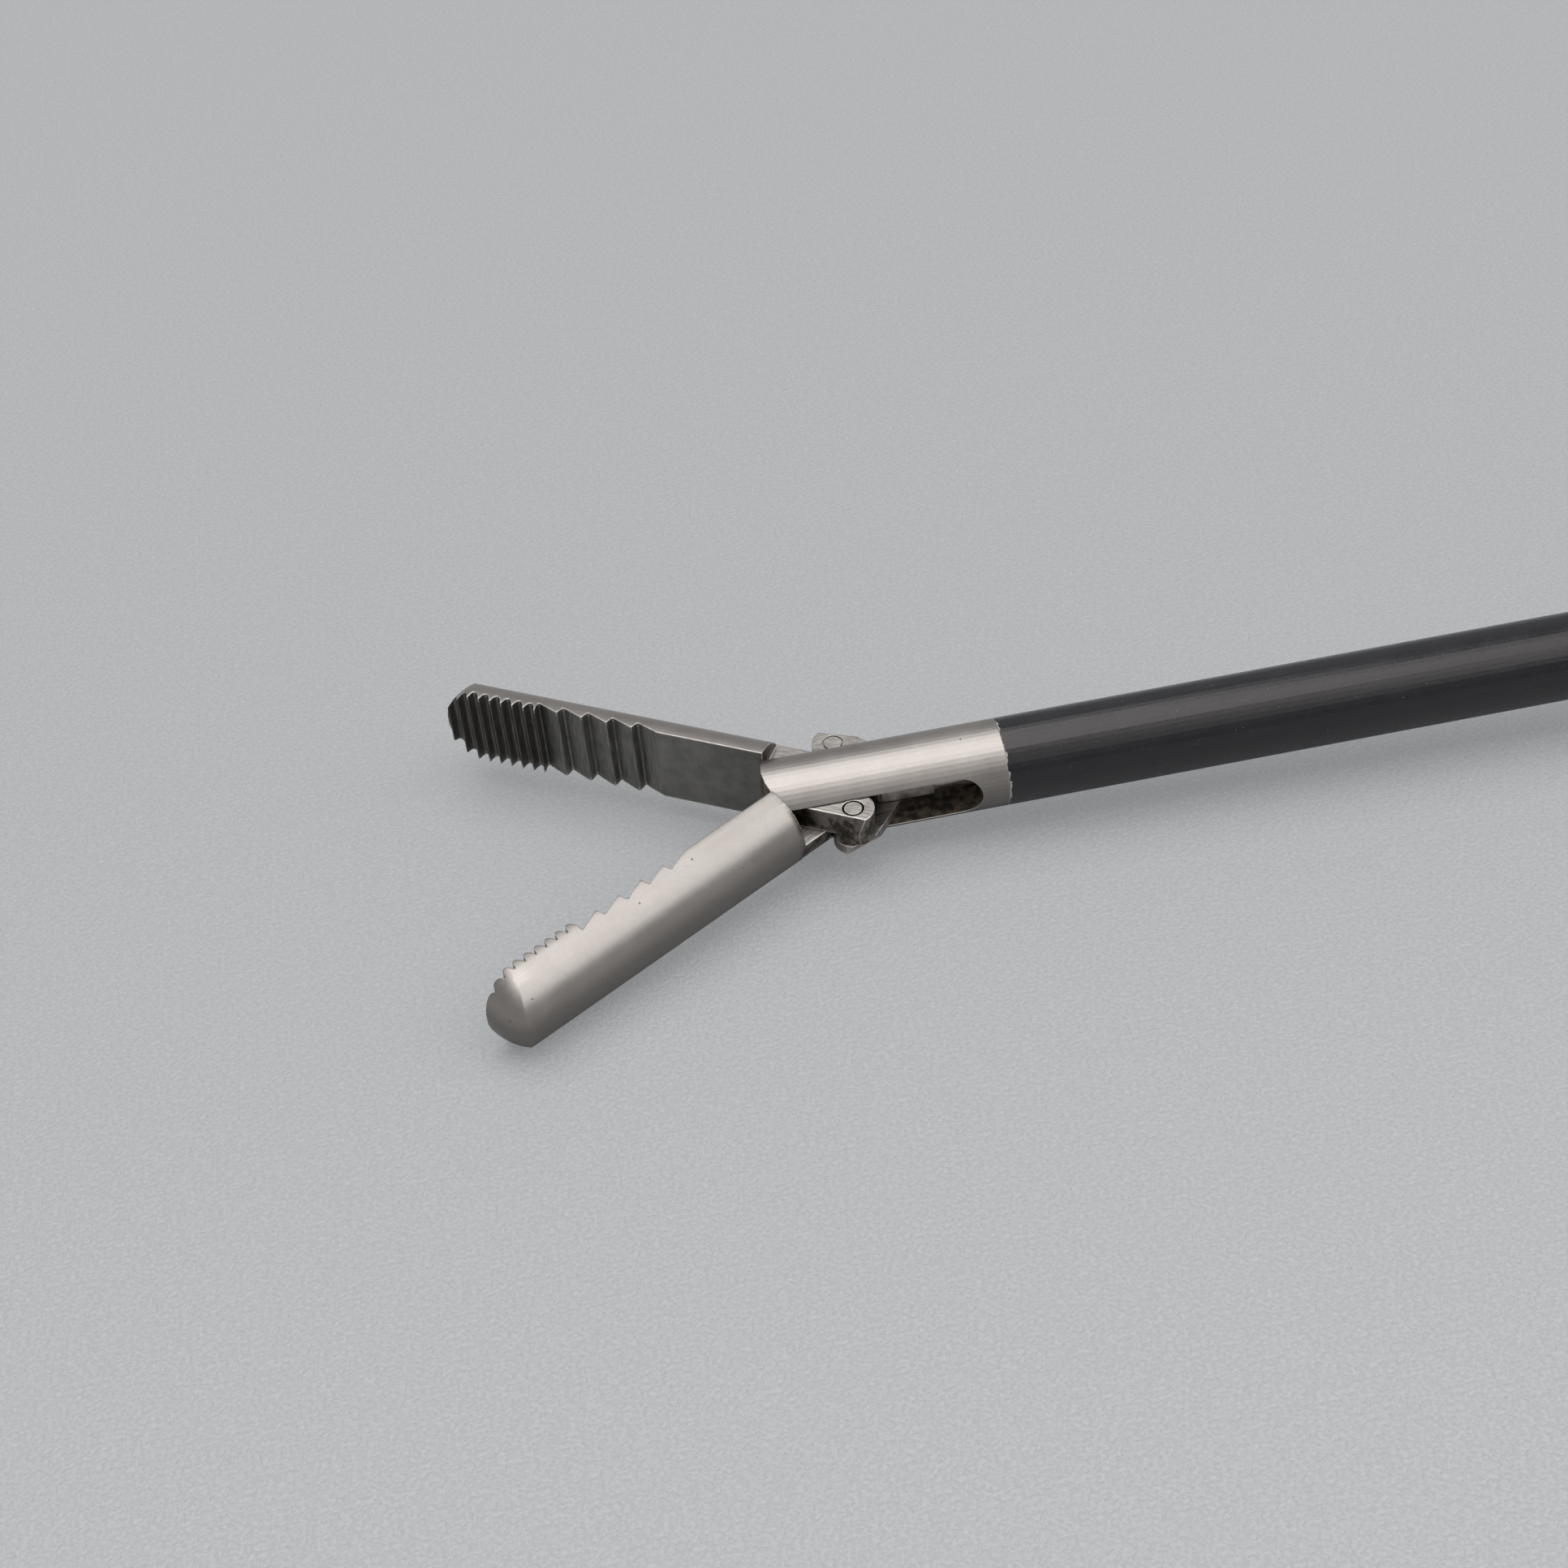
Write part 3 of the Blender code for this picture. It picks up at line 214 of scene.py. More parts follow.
class Finish:
    """A node material in the making. Sockets and plain numbers both serve as inputs."""

    def __init__(self, name, local=None):
        self.material = bpy.data.materials.new(name)
        self.material.use_nodes = True
        self.tree = self.material.node_tree
        self.shader = self.tree.nodes["Principled BSDF"]
        coordinates = self.tree.nodes.new("ShaderNodeTexCoord")
        mapping = self.tree.nodes.new("ShaderNodeMapping")
        into = (local or SHAFT).inverted()
        mapping.inputs["Location"].default_value = into.translation / MM
        mapping.inputs["Rotation"].default_value = into.to_euler()
        mapping.inputs["Scale"].default_value = (1 / MM, 1 / MM, 1 / MM)
        self.tree.links.new(coordinates.outputs["Object"], mapping.inputs["Vector"])
        self.place = mapping.outputs["Vector"]
        self.normal = coordinates.outputs["Normal"]

    def feed(self, socket, value):
        if isinstance(value, bpy.types.NodeSocket):
            self.tree.links.new(value, socket)
        else:
            socket.default_value = value

    def stretched(self, scale):
        """The place, with each axis scaled by its own factor."""
        node = self.tree.nodes.new("ShaderNodeVectorMath")
        node.operation = "MULTIPLY"
        self.feed(node.inputs[0], self.place)
        node.inputs[1].default_value = scale
        return node.outputs["Vector"]

    def turned(self, angle, scale):
        """The place turned about the local Z axis, then scaled."""
        node = self.tree.nodes.new("ShaderNodeMapping")
        self.feed(node.inputs["Vector"], self.place)
        node.inputs["Rotation"].default_value = (0.0, 0.0, angle)
        node.inputs["Scale"].default_value = scale
        return node.outputs["Vector"]

    def noise(self, scale, detail=2.0, roughness=0.5, distortion=0.0, place=None):
        node = self.tree.nodes.new("ShaderNodeTexNoise")
        self.feed(node.inputs["Vector"], place or self.place)
        node.inputs["Scale"].default_value = scale
        node.inputs["Detail"].default_value = detail
        node.inputs["Roughness"].default_value = roughness
        node.inputs["Distortion"].default_value = distortion
        return node.outputs["Fac"]

    def cells(self, scale):
        """Distance to the nearest of many scattered points."""
        node = self.tree.nodes.new("ShaderNodeTexVoronoi")
        self.feed(node.inputs["Vector"], self.place)
        node.inputs["Scale"].default_value = scale
        return node.outputs["Distance"]

    def math(self, operation, a, b=0.0):
        node = self.tree.nodes.new("ShaderNodeMath")
        node.operation = operation
        self.feed(node.inputs[0], a)
        self.feed(node.inputs[1], b)
        return node.outputs[0]

    def ramp(self, value, low, high, out_low=0.0, out_high=1.0):
        """Smooth step of a value from low to high."""
        node = self.tree.nodes.new("ShaderNodeMapRange")
        node.interpolation_type = "SMOOTHSTEP"
        self.feed(node.inputs["Value"], value)
        node.inputs["From Min"].default_value = low
        node.inputs["From Max"].default_value = high
        node.inputs["To Min"].default_value = out_low
        node.inputs["To Max"].default_value = out_high
        return node.outputs["Result"]

    def mix(self, share, a, b):
        node = self.tree.nodes.new("ShaderNodeMix")
        node.data_type = "RGBA"
        self.feed(node.inputs["Factor"], share)
        for socket, value in ((node.inputs[6], a), (node.inputs[7], b)):
            self.feed(socket, value if isinstance(value, bpy.types.NodeSocket) else (*value, 1.0))
        return node.outputs[2]

    def axis(self, index):
        node = self.tree.nodes.new("ShaderNodeSeparateXYZ")
        self.feed(node.inputs[0], self.place)
        return node.outputs[index]

    def hypotenuse(self, a, b):
        """Length of the hypotenuse over two sides."""
        return self.math("SQRT", self.math("ADD", self.math("MULTIPLY", a, a), self.math("MULTIPLY", b, b)))

    def off_axis(self):
        """Distance from the local X axis."""
        return self.hypotenuse(self.axis(1), self.axis(2))

    def facing(self, direction):
        """Cosine between the surface normal and a direction of the part at rest."""
        node = self.tree.nodes.new("ShaderNodeVectorMath")
        node.operation = "DOT_PRODUCT"
        self.feed(node.inputs[0], self.normal)
        node.inputs[1].default_value = direction
        return node.outputs["Value"]

    def rounded(self, radius):
        """Normal of slightly rounded edges, and a mask that is 1 on them."""
        node = self.tree.nodes.new("ShaderNodeBevel")
        node.samples = 6
        node.inputs["Radius"].default_value = radius * MM
        plain = self.tree.nodes.new("ShaderNodeNewGeometry").outputs["Normal"]
        dot = self.tree.nodes.new("ShaderNodeVectorMath")
        dot.operation = "DOT_PRODUCT"
        self.feed(dot.inputs[0], node.outputs["Normal"])
        self.feed(dot.inputs[1], plain)
        return node.outputs["Normal"], self.ramp(dot.outputs["Value"], 0.992, 0.93)

    def bump(self, height, strength, depth, below=None):
        """Bump from a height of 0 to 1 that stands for a depth in millimetres."""
        node = self.tree.nodes.new("ShaderNodeBump")
        self.feed(node.inputs["Strength"], strength)
        node.inputs["Distance"].default_value = depth * MM
        self.feed(node.inputs["Height"], height)
        if below is not None:
            self.feed(node.inputs["Normal"], below)
        return node.outputs["Normal"]

    def done(self, colour, roughness, normal=None, metallic=0.0):
        self.feed(self.shader.inputs["Base Color"], colour)
        self.feed(self.shader.inputs["Roughness"], roughness)
        self.shader.inputs["Metallic"].default_value = metallic
        if normal is not None:
            self.feed(self.shader.inputs["Normal"], normal)
        return self.material


def scratches(finish, along, across, threshold):
    """Thin sparse lines along the local X axis: 1 on a scratch."""
    lines = finish.noise(1.0, 1.0, 0.5, 0.0, finish.stretched((along, across, across)))
    return finish.ramp(lines, threshold, threshold + 0.04)


def pits(finish, scale, size, share):
    """Small dark dimples: 1 in a pit. Share is how much of the surface has any."""
    dots = finish.ramp(finish.cells(scale), size, size * 0.4, 0.0, 1.0)
    where = finish.ramp(finish.noise(scale * 0.31, 1.0), 1.0 - share, 1.0 - share + 0.05)
    return finish.math("MULTIPLY", dots, where)


def blasted(f, light, dark):
    """Colour, roughness and heights of a fine blasted surface with pits and faint scratches, and with
    painted shade that darkens its sides and underside.
    """
    cloud = f.noise(0.55, 4.0, 0.6)
    grain = f.noise(9.0, 3.0, 0.65)
    line = scratches(f, 0.35, 9.0, 0.66)
    pit = pits(f, 1.7, 0.13, 0.42)
    colour = f.mix(f.ramp(cloud, 0.35, 0.65), dark, light)
    colour = f.mix(f.ramp(grain, 0.3, 0.75, 0.0, 0.30), colour, dark)
    colour = f.mix(f.math("MULTIPLY", line, 0.25), colour, [min(1.0, c * 1.2) for c in light])
    colour = f.mix(f.math("MULTIPLY", pit, 0.75), colour, STEEL_PIT)
    # Painted shade: faces turned away from the shaft frame's +Z are darkened towards a dim copy of the dark
    # tone.
    painted_underside_shade = f.ramp(f.facing(SHAFT.col[2].xyz), 0.62, 0.0, 0.0, 0.75)
    colour = f.mix(painted_underside_shade, colour, [c * 0.42 for c in dark])
    roughness = f.math("ADD", f.ramp(grain, 0.2, 0.8, 0.32, 0.40), f.ramp(cloud, 0.3, 0.7, 0.0, 0.05))
    return colour, roughness, grain, pit


def blasted_bump(f, grain, pit, below):
    normal = f.bump(grain, 0.35, 0.012, below)
    normal = f.bump(f.noise(26.0, 2.0, 0.7), 0.25, 0.006, normal)
    return f.bump(f.math("SUBTRACT", 1.0, pit), 0.6, 0.03, normal)


def satin_steel():
    f = Finish("satin_steel")
    below, edge = f.rounded(EDGE_R)
    colour, roughness, grain, pit = blasted(f, STEEL_LIGHT, STEEL_DARK)
    # Edges are brightened: partly wear, partly a painted highlight.
    colour = f.mix(f.math("MULTIPLY", edge, 0.5), colour, EDGE_WEAR_AND_HIGHLIGHT)
    return f.done(colour, roughness, blasted_bump(f, grain, pit, below), 1.0)


def clevis_steel():
    """Satin outside; inside the slot dark and stained, with small bright specks."""
    f = Finish("clevis_steel")
    below, edge = f.rounded(EDGE_R)
    colour, roughness, grain, pit = blasted(f, STEEL_LIGHT, STEEL_DARK)
    inside = f.ramp(f.off_axis(), SHAFT_R - 0.03, SHAFT_R - 0.10)
    stain = f.mix(f.ramp(f.noise(1.6, 3.0), 0.4, 0.62), SLOT_DARK, SLOT_BROWN)
    specks = f.ramp(f.cells(9.0), 0.20, 0.08)
    stain = f.mix(f.math("MULTIPLY", specks, f.ramp(f.noise(3.0), 0.45, 0.6)), stain, SLOT_SPECK)
    # Edges are brightened: partly wear, partly a painted highlight.
    colour = f.mix(f.math("MULTIPLY", edge, 0.5), colour, EDGE_WEAR_AND_HIGHLIGHT)
    colour = f.mix(inside, colour, stain)
    roughness = f.math("ADD", roughness, f.math("MULTIPLY", inside, 0.25))
    return f.done(colour, roughness, blasted_bump(f, grain, pit, below), 1.0)


def hatched(f, angle):
    """Grinding marks across a flat top: colour, roughness and height."""
    marks = f.noise(1.0, 3.0, 0.6, 0.0, f.turned(angle, (1.2, 15.0, 1.0)))
    cloud = f.noise(1.3, 3.0, 0.6)
    colour = f.mix(f.ramp(marks, 0.35, 0.65), HATCH_DARK, HATCH_LIGHT)
    colour = f.mix(f.ramp(cloud, 0.5, 0.75, 0.0, 0.5), colour, HATCH_STAIN)
    return colour, f.ramp(marks, 0.3, 0.7, 0.32, 0.46), marks


def ground_steel(name, angle):
    """Ground flats with hatch marks, duller than the satin steel."""
    f = Finish(name)
    below, edge = f.rounded(EDGE_R)
    colour, roughness, marks = hatched(f, angle)
    # Edges are brightened: partly wear, partly a painted highlight.
    colour = f.mix(f.math("MULTIPLY", edge, 0.7), colour, EDGE_WEAR_AND_HIGHLIGHT)
    normal = f.bump(marks, 0.5, 0.02, below)
    normal = f.bump(f.noise(16.0, 3.0, 0.65), 0.35, 0.008, normal)
    return f.done(colour, roughness, normal, 1.0)


def nose_arc(length):
    """Arc of the nose in a plane through the axis: its radius, and its centre's place and offset."""
    low, high = NOSE_SLOPES
    bend = NOSE_DEPTH / (math.sin(high) - math.sin(low))
    return bend, length - NOSE_DEPTH - bend * math.sin(low), NOSE_R - bend * math.cos(low)


def off_nose(f, length):
    """How far inside the nose's surface a point lies or, before the nose, inside a plain round."""
    bend, centre, offset = nose_arc(length)
    around = f.hypotenuse(f.math("DIVIDE", f.axis(1), NOSE_SPREAD), f.axis(2))
    along = f.math("MAXIMUM", f.math("SUBTRACT", f.math("MULTIPLY", f.axis(0), -1.0), centre), 0.0)
    across = f.math("MAXIMUM", f.math("SUBTRACT", around, offset), 0.0)
    return f.math("SUBTRACT", bend, f.hypotenuse(along, across))


def jaw_steel(name, sign, length):
    """Satin outside, with painted shade on its sides and underside; dark cut face with bright tooth ends,
    partly worn and partly a painted highlight; ground tang with darker side walls.
    """
    local = jaw_frame(sign)
    f = Finish(name, local)
    below, edge = f.rounded(JAW_EDGE_R)
    colour, roughness, grain, pit = blasted(f, STEEL_LIGHT, STEEL_DARK)

    upright = f.math("ABSOLUTE", f.facing(local.col[2].xyz))
    outward = f.math("MULTIPLY", f.facing(local.col[1].xyz), float(sign))
    cut = f.math("MULTIPLY", f.ramp(upright, 0.6, 0.3), f.ramp(outward, 0.6, 0.3))
    cut = f.math("MULTIPLY", cut, f.ramp(f.math("ABSOLUTE", f.axis(1)), 0.66, 0.56))
    cut = f.math("MULTIPLY", cut, f.ramp(off_nose(f, length), 0.02, 0.05))
    root = f.ramp(f.axis(0), -3.4, -3.0)

    streaks = f.noise(1.0, 3.0, 0.6, 0.0, f.stretched((13.0, 13.0, 0.8)))
    pebbles = f.noise(4.5, 3.0, 0.6)
    toothed = f.ramp(f.axis(0), -9.0, -9.8)
    face = f.mix(f.ramp(f.noise(0.8, 4.0, 0.6), 0.35, 0.65), FACE_DARK, FACE_LIGHT)
    rough_face = f.mix(f.ramp(streaks, 0.38, 0.62), STREAK_DARK, STREAK_LIGHT)
    face = f.mix(f.math("MULTIPLY", toothed, 0.40), face, rough_face)
    face = f.mix(f.ramp(f.axis(0), -16.4, -17.0, 0.0, 0.40), face, FINE_TEETH_DARK)
    face = f.mix(f.math("MULTIPLY", pit, 0.8), face, FACE_PIT)

    top, _, marks = hatched(f, JAW_HATCH)
    stain = f.ramp(f.noise(1.4, 3.0, 0.6, 0.2), 0.42, 0.60)
    # The tang's side walls are much darker than its ground top, in blotches between two dark tones.
    walls = f.mix(stain, HATCH_STAIN, TANG_WALL_DARK)
    tang = f.mix(f.ramp(upright, 0.7, 0.9), walls, top)

    colour = f.mix(cut, colour, face)
    colour = f.mix(root, colour, tang)
    rim = f.ramp(f.off_axis(), SHAFT_R - 0.34, SHAFT_R - 0.16)
    rim = f.math("MULTIPLY", rim, f.ramp(f.math("ABSOLUTE", f.axis(1)), 0.75, 0.5))
    # Bright ragged rim along the cut face's top edge and the tang: partly worn edge, partly a painted
    # highlight.
    burr_and_highlight = f.math("MULTIPLY", edge, f.ramp(f.noise(5.0, 3.0, 0.7), 0.25, 0.5, 0.35, 1.0))
    burr_and_highlight = f.math("MULTIPLY", burr_and_highlight, f.math("MAXIMUM", rim, root))
    colour = f.mix(burr_and_highlight, colour, EDGE_WEAR_AND_HIGHLIGHT)
    roughness = f.math("ADD", roughness, f.math("MULTIPLY", cut, 0.12))
    normal = blasted_bump(f, grain, pit, below)
    normal = f.bump(streaks, f.math("MULTIPLY", f.math("MULTIPLY", toothed, cut), 0.5), 0.03, normal)
    normal = f.bump(pebbles, f.math("MULTIPLY", cut, 0.45), 0.03, normal)
    normal = f.bump(marks, f.math("MULTIPLY", root, 0.5), 0.02, normal)
    return f.done(colour, roughness, normal, 1.0)


def insulation():
    """Blue-black shrink sleeve: semi-gloss, fine wrinkles, specks, and a chipped pale front edge."""
    f = Finish("shaft_insulation")
    below, _ = f.rounded(SLEEVE_EDGE_R)
    cloud = f.noise(0.5, 3.0, 0.55)
    wrinkle = f.noise(1.0, 3.0, 0.6, 0.3, f.stretched((2.2, 4.5, 4.5)))
    peel = f.noise(6.0, 2.0, 0.55)
    speck = pits(f, 2.6, 0.12, 0.40)
    line = scratches(f, 0.5, 14.0, 0.70)
    colour = f.mix(cloud, SLEEVE_DARK, SLEEVE_LIGHT)
    colour = f.mix(f.math("MULTIPLY", speck, 0.6), colour, SLEEVE_SPECK)
    colour = f.mix(f.math("MULTIPLY", line, 0.15), colour, SLEEVE_SCRATCH)
    ragged = f.ramp(f.noise(2.3, 3.0, 0.65), 0.42, 0.72, 0.0, 0.17)
    chipped = f.ramp(f.math("SUBTRACT", f.math("ADD", ragged, SLEEVE_START), f.axis(0)), -0.01, 0.03)
    colour = f.mix(f.math("MULTIPLY", chipped, 0.8), colour, SLEEVE_CHIP)
    roughness = f.math("ADD", f.ramp(peel, 0.3, 0.7, 0.18, 0.25), f.ramp(cloud, 0.3, 0.7, 0.0, 0.06))
    normal = f.bump(wrinkle, 0.22, 0.02, below)
    normal = f.bump(peel, 0.30, 0.008, normal)
    f.shader.inputs["IOR"].default_value = 1.53
    f.shader.inputs["Specular Tint"].default_value = SLEEVE_TINT
    return f.done(colour, roughness, normal)


def moulded(name, light, dark):
    """Moulded handle plastic with a fine spark-eroded texture and rubbed places."""
    f = Finish(name)
    texture = f.noise(4.5, 3.0, 0.6)
    cloud = f.noise(0.08, 3.0, 0.55)
    colour = f.mix(f.ramp(cloud, 0.35, 0.65), dark, light)
    colour = f.mix(f.math("MULTIPLY", scratches(f, 0.1, 2.4, 0.70), 0.2), colour, PLASTIC_SCRATCH)
    roughness = f.math("ADD", f.ramp(texture, 0.3, 0.7, 0.36, 0.48), f.ramp(cloud, 0.3, 0.7, 0.0, 0.08))
    normal = f.bump(texture, 0.5, 0.03)
    return f.done(colour, roughness, normal)


def silicone():
    f = Finish("seal_silicone")
    cloud = f.noise(1.2, 3.0)
    colour = f.mix(cloud, *SEAL_TONES)
    return f.done(colour, f.ramp(cloud, 0.3, 0.7, 0.5, 0.65), f.bump(f.noise(6.0), 0.3, 0.02))


def table_top():
    """Pale grey floor with a fine leather-like grain, paler towards the camera. To the camera a
    share of it is an even grey, which lightens the object's shadow as in the photograph."""
    f = Finish("table_top", Matrix.Identity(4))
    pebbles = f.noise(4.4, 3.0, 0.6, 0.4)
    # Painted light: the floor's colour is paler towards the camera.
    colour = f.mix(f.ramp(f.axis(1), 60.0, -50.0), FLOOR_GREY, [c * 1.12 for c in FLOOR_GREY])
    colour = f.mix(f.ramp(pebbles, 0.36, 0.62, 0.0, 0.42), colour, [c * 0.82 for c in FLOOR_GREY])
    material = f.done(colour, 0.45, f.bump(pebbles, 1.0, 0.14))
    # Painted light: to the camera a share of the floor glows in its own colour, which lightens the object's
    # shadow.
    even = f.tree.nodes.new("ShaderNodeEmission")
    f.feed(even.inputs["Color"], colour)
    even.inputs["Strength"].default_value = EVEN_GREY
    seen = f.tree.nodes.new("ShaderNodeLightPath").outputs["Is Camera Ray"]
    blend = f.tree.nodes.new("ShaderNodeMixShader")
    f.feed(blend.inputs["Fac"], f.math("MULTIPLY", seen, EVEN_SHARE))
    f.feed(blend.inputs[1], f.shader.outputs["BSDF"])
    f.feed(blend.inputs[2], even.outputs["Emission"])
    f.feed(f.tree.nodes["Material Output"].inputs["Surface"], blend.outputs["Shader"])
    return material


def new_object(name, mesh):
    ob = bpy.data.objects.new(name, mesh)
    bpy.context.scene.collection.objects.link(ob)
    return ob


def make_floor():
    mesh = bpy.data.meshes.new("floor")
    bm = bmesh.new()
    bmesh.ops.create_grid(bm, x_segments=2, y_segments=2, size=FLOOR_HALF * MM)
    bm.to_mesh(mesh)
    bm.free()
    floor = new_object("floor", mesh)
    floor.data.materials.append(table_top())


def make_world():
    world = bpy.data.worlds.new("studio")
    world.use_nodes = True
    world.node_tree.nodes["Background"].inputs["Color"].default_value = (*WORLD_LIGHT, 1.0)
    world.node_tree.nodes["Background"].inputs["Strength"].default_value = 1.0
    bpy.context.scene.world = world


def soft_lamp(name, at, size, brightness, colour=(1.0, 1.0, 1.0)):
    """Level soft box above the table, placed in the shaft frame, with its own brightness."""
    data = bpy.data.lights.new(name, "AREA")
    data.shape = "RECTANGLE"
    data.size, data.size_y = size[0] * MM, size[1] * MM
    data.energy = brightness * math.pi * data.size * data.size_y
    data.color = colour
    lamp = bpy.data.objects.new(name, data)
    bpy.context.scene.collection.objects.link(lamp)
    lamp.matrix_world = SHAFT @ Matrix.Translation(Vector(at) * MM)
    lamp.visible_camera = False


def make_lamps():
    soft_lamp("top_light", (-110, 195, 900), (860, 1130), 2.1)
    soft_lamp("right_light", (1260, -365, 900), (1880, 1270), 1.50)
    soft_lamp("near_fill", (-150, -980, 900), (1300, 1100), 0.42, (1.0, 0.96, 0.92))
    soft_lamp("far_fill", (0, 1700, 900), (1800, 1200), 0.15)


def dress(node, material):
    """Give a CAD node its finish."""
    ob = frame["nodes"][node]
    ob.data.materials.clear()
    ob.data.materials.append(material)


def jaw_frame(sign):
    """Frame of a jaw as it lies at rest: +X from the tip to the pivot."""
    return SHAFT @ Matrix.Rotation(-sign * JAW_OPEN, 4, "Z")


def arc(centre, radius, start, end, count=14):
    angles = [start + (end - start) * i / count for i in range(count + 1)]
    return [(centre[0] + radius * math.cos(a), centre[1] + radius * math.sin(a)) for a in angles]


def finished(bm, name):
    """Object of a mesh under construction, with its points merged and its normals outward."""
    bmesh.ops.remove_doubles(bm, verts=bm.verts, dist=1e-4)
    bmesh.ops.recalc_face_normals(bm, faces=bm.faces)
    mesh = bpy.data.meshes.new(name)
    bm.to_mesh(mesh)
    bm.free()
    return new_object(name, mesh)


def prism(name, outline, low, high):
    """Flat outline as a solid from low to high."""
    bm = bmesh.new()
    face = bm.faces.new([bm.verts.new((x, y, low)) for x, y in outline])
    grown = bmesh.ops.extrude_face_region(bm, geom=[face])
    raised = [v for v in grown["geom"] if isinstance(v, bmesh.types.BMVert)]
    bmesh.ops.translate(bm, verts=raised, vec=(0, 0, high - low))
    return finished(bm, name)


def lathed(name, profile, steps=144):
    """Solid turned about the X axis from (x, radius) points that start and end on it."""
    bm = bmesh.new()
    points = [bm.verts.new((x, r, 0)) for x, r in profile]
    lines = [bm.edges.new(pair) for pair in zip(points, points[1:])]
    bmesh.ops.spin(bm, geom=points + lines, axis=(1, 0, 0), cent=(0, 0, 0), steps=steps,
                   angle=2 * math.pi, dvec=(0, 0, 0))
    return finished(bm, name)


def worked(ob, steps):
    """Join, cut and trim a solid with tools, which are used up."""
    for operation, tool in steps:
        step = ob.modifiers.new(operation.lower(), "BOOLEAN")
        step.operation = operation
        step.object = tool
    bpy.context.view_layer.update()
    mesh = bpy.data.meshes.new_from_object(ob.evaluated_get(bpy.context.evaluated_depsgraph_get()))
    for tool in [tool for _, tool in steps] + [ob]:
        bpy.data.objects.remove(tool)
    return mesh


def fine_teeth(side):
    """Fine teeth as (distance, height). One cut makes both jaws: side 1 has the sharp crests and
    round grooves, side -1 the round crests, of which the last are worn, and sharp grooves."""
    hollow = [(along, -share * SMALL_DEPTH) for along, share in SMALL_GROOVE]
    line = []
    for k in range(SMALL_COUNT):
        crest = SMALL_FIRST_CREST + k * SMALL_PITCH
        for along, cut in [*SMALL_CREST, *hollow, SMALL_RISE]:
            worn = side < 0 and cut < 0
            height = side * cut * (LAST_CRESTS.get(k, 1.0) if worn else 1.0)
            line.append((crest + along, height))
    return line if side > 0 else line[1:]


def tooth_line(side, length):
    """Inner edge of a jaw as (distance from the pivot, height proud of the face)."""
    line = [(JAW_ROOT, 0.0), (FLAT_END, 0.0)]
    for k in range(BIG_COUNT):
        valley = BIG_FIRST_VALLEY + k * BIG_PITCH
        line += [(valley + along, -share * BIG_DEPTH) for along, share in BIG_VALLEY]
        if k < BIG_COUNT - 1:
            line += [(valley + along, height) for along, height in BIG_CREST]
    line += fine_teeth(side)
    return [point for point in line if point[0] < length - TIP_LAND] + [(length + PAST_TIP, 0.0)]


def envelope(length):
    """Shaft envelope with the domed nose, which is broader across the jaws than along the pivot."""
    low, high = NOSE_SLOPES
    bend, centre, offset = nose_arc(length)
    slopes = [low + (high - low) * i / (NOSE_POINTS - 1) for i in range(NOSE_POINTS)]
    dome = [(-centre - bend * math.sin(slope), offset + bend * math.cos(slope)) for slope in slopes]
    ob = lathed("envelope", [(ROUND_BACK, 0), (ROUND_BACK, NOSE_R)] + dome + [(-length, 0)])
    ob.data.transform(Matrix.Diagonal((1, NOSE_SPREAD, 1, 1)))
    return ob


def tang_outline():
    """Plan of the tang: the lug's arm, a round boss and the step beside the jaw."""
    reach, angle = LUG_AT
    lug = (reach * math.cos(angle), -reach * math.sin(angle))
    outline = arc(lug, LUG_R, LUG_ARC_START, math.pi - angle - math.asin(ARM_HALF / LUG_R), 24)
    outline += arc((0, 0), TANG_R, math.asin(ARM_HALF / TANG_R) - angle, TANG_SWEEP, 20)
    outline += [(-TANG_SHOULDER, OUTSIDE), (TANG_OVERLAP, OUTSIDE), (TANG_OVERLAP, TANG_STEP[1]), TANG_STEP]
    outline += arc((0, 0), EAR_GAP_R, math.pi, math.pi + math.asin(OUTSIDE / EAR_GAP_R))
    return outline, lug


def bore(name, centre, radius):
    return prism(name, arc(centre, radius, 0, 2 * math.pi, 36)[:-1], -DRILL_HALF, DRILL_HALF)


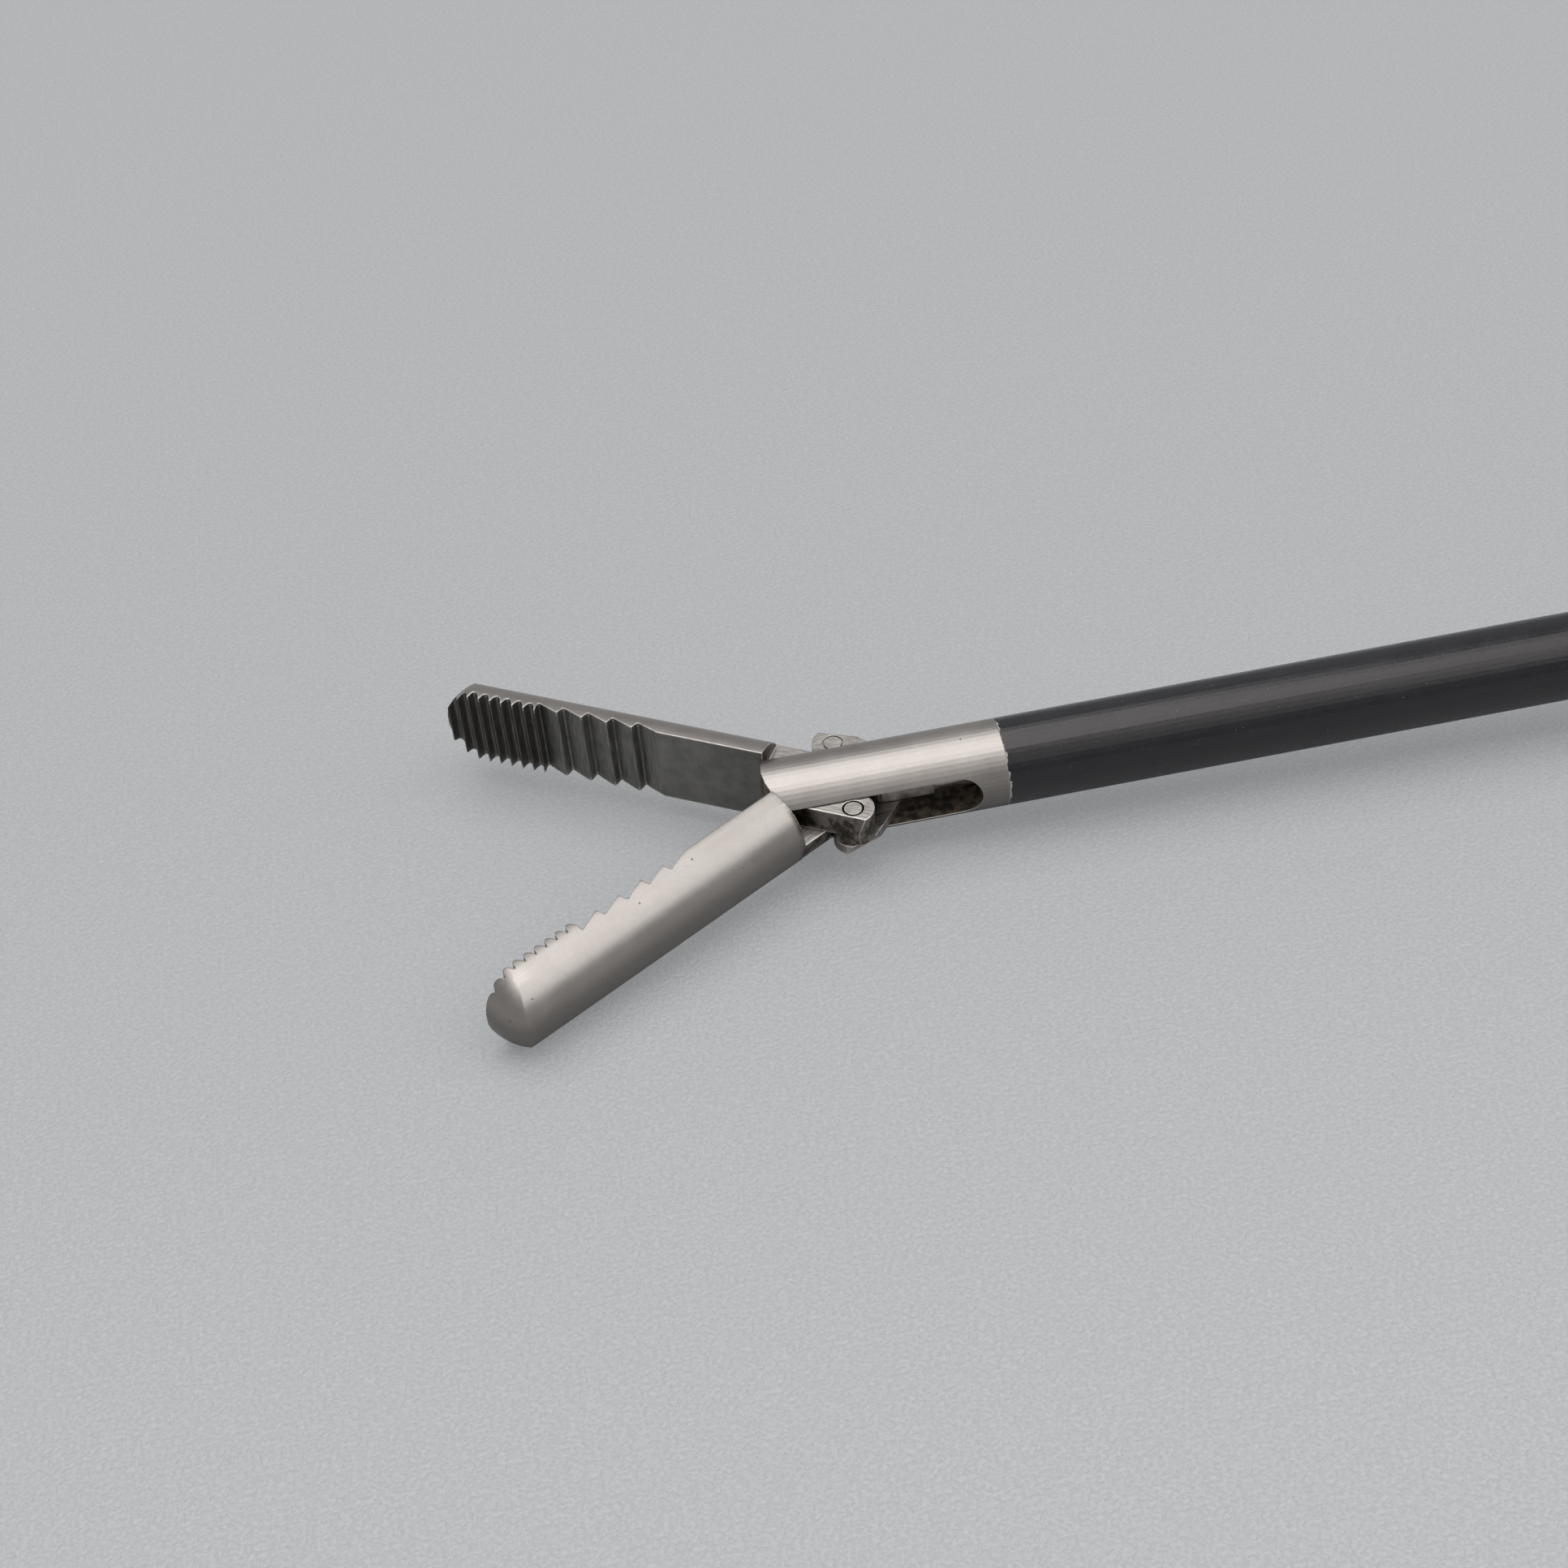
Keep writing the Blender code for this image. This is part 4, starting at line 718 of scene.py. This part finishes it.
def jaw_mesh(side, length):
    """One jaw in its shut place: y from the closing face outwards, tang above mid-plane.
    The round has rings between its ends, so that shading at the nose stays at the nose."""
    line = [(-t, FACE_GAP - proud) for t, proud in tooth_line(side, length)]
    back = [(-length - PAST_TIP, BLOCK_OUT), (-JAW_ROOT, BLOCK_OUT)]
    blade = prism("blade", line + back, -BLOCK_HALF, BLOCK_HALF)
    tang, lug = tang_outline()
    rings = [(-t, SHAFT_R) for t in RINGS]
    shaft_round = lathed("shaft_round", [(ROUND_BACK, 0), (ROUND_BACK, SHAFT_R)] + rings +
                         [(ROUND_FRONT, SHAFT_R), (ROUND_FRONT, 0)])
    return worked(blade, [
        ("UNION", prism("tang", tang, TANG_MIDDLE, TANG_TOP)),
        ("UNION", prism("lug", arc(lug, LUG_R, 0, 2 * math.pi, 47)[:-1], -LUG_UNDER, TANG_TOP)),
        ("INTERSECT", shaft_round),
        ("INTERSECT", envelope(length)),
        ("DIFFERENCE", bore("pivot_hole", (0, 0), PIVOT_HOLE_R)),
        ("DIFFERENCE", bore("lug_hole", lug, LUG_HOLE_R))])


def make_jaws():
    """Both jaws with rounded teeth and the domed nose, in place of the plainer solids."""
    for name, body, side, roll in (("back", "back_jaw", 1, 0.0), ("front", "front_jaw", -1, math.pi)):
        mesh = jaw_mesh(side, JAW_LENGTHS[name])
        to_row = jaw_frame(side) @ Matrix.Rotation(roll, 4, "X") @ Matrix.Scale(MM, 4)
        mesh.transform(to_row)
        mesh.shade_smooth()
        mesh.set_sharp_from_angle(angle=SHARP_FROM)
        mesh.materials.clear()
        mesh.materials.append(jaw_steel(name + "_jaw_steel", side, JAW_LENGTHS[name]))
        piece = new_object(name + "_jaw_ground", mesh)
        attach(piece, body)
        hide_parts("jaw_" + name)


def make_finishes():
    plain = satin_steel()
    dress("clevis", clevis_steel())
    ground = ground_steel("link_steel", LINK_HATCH)
    for node in ("link_lower", "link_upper", "rod_end_block", "rod_link_pin", "link_pin_front",
                 "link_pin_back", "drive_rod", "rod_ball", "collar_set_screw"):
        dress(node, ground)
    for node in ("jaw_pivot_pin", "shaft_tube", "shaft_collar", "hf_post", "lever_pivot_nut",
                 "lever_pivot_screw"):
        dress(node, plain)
    dress("insulation_sleeve", insulation())
    handle = moulded("handle_plastic", *HANDLE_TONES)
    dress("handle_body", handle)
    dress("thumb_lever", handle)
    dress("rotation_knob", moulded("knob_plastic", *KNOB_TONES))
    dress("rod_seal", silicone())


bpy.context.scene.view_settings.view_transform = "Standard"
make_camera()
make_floor()
make_world()
make_lamps()
make_finishes()
make_jaws()
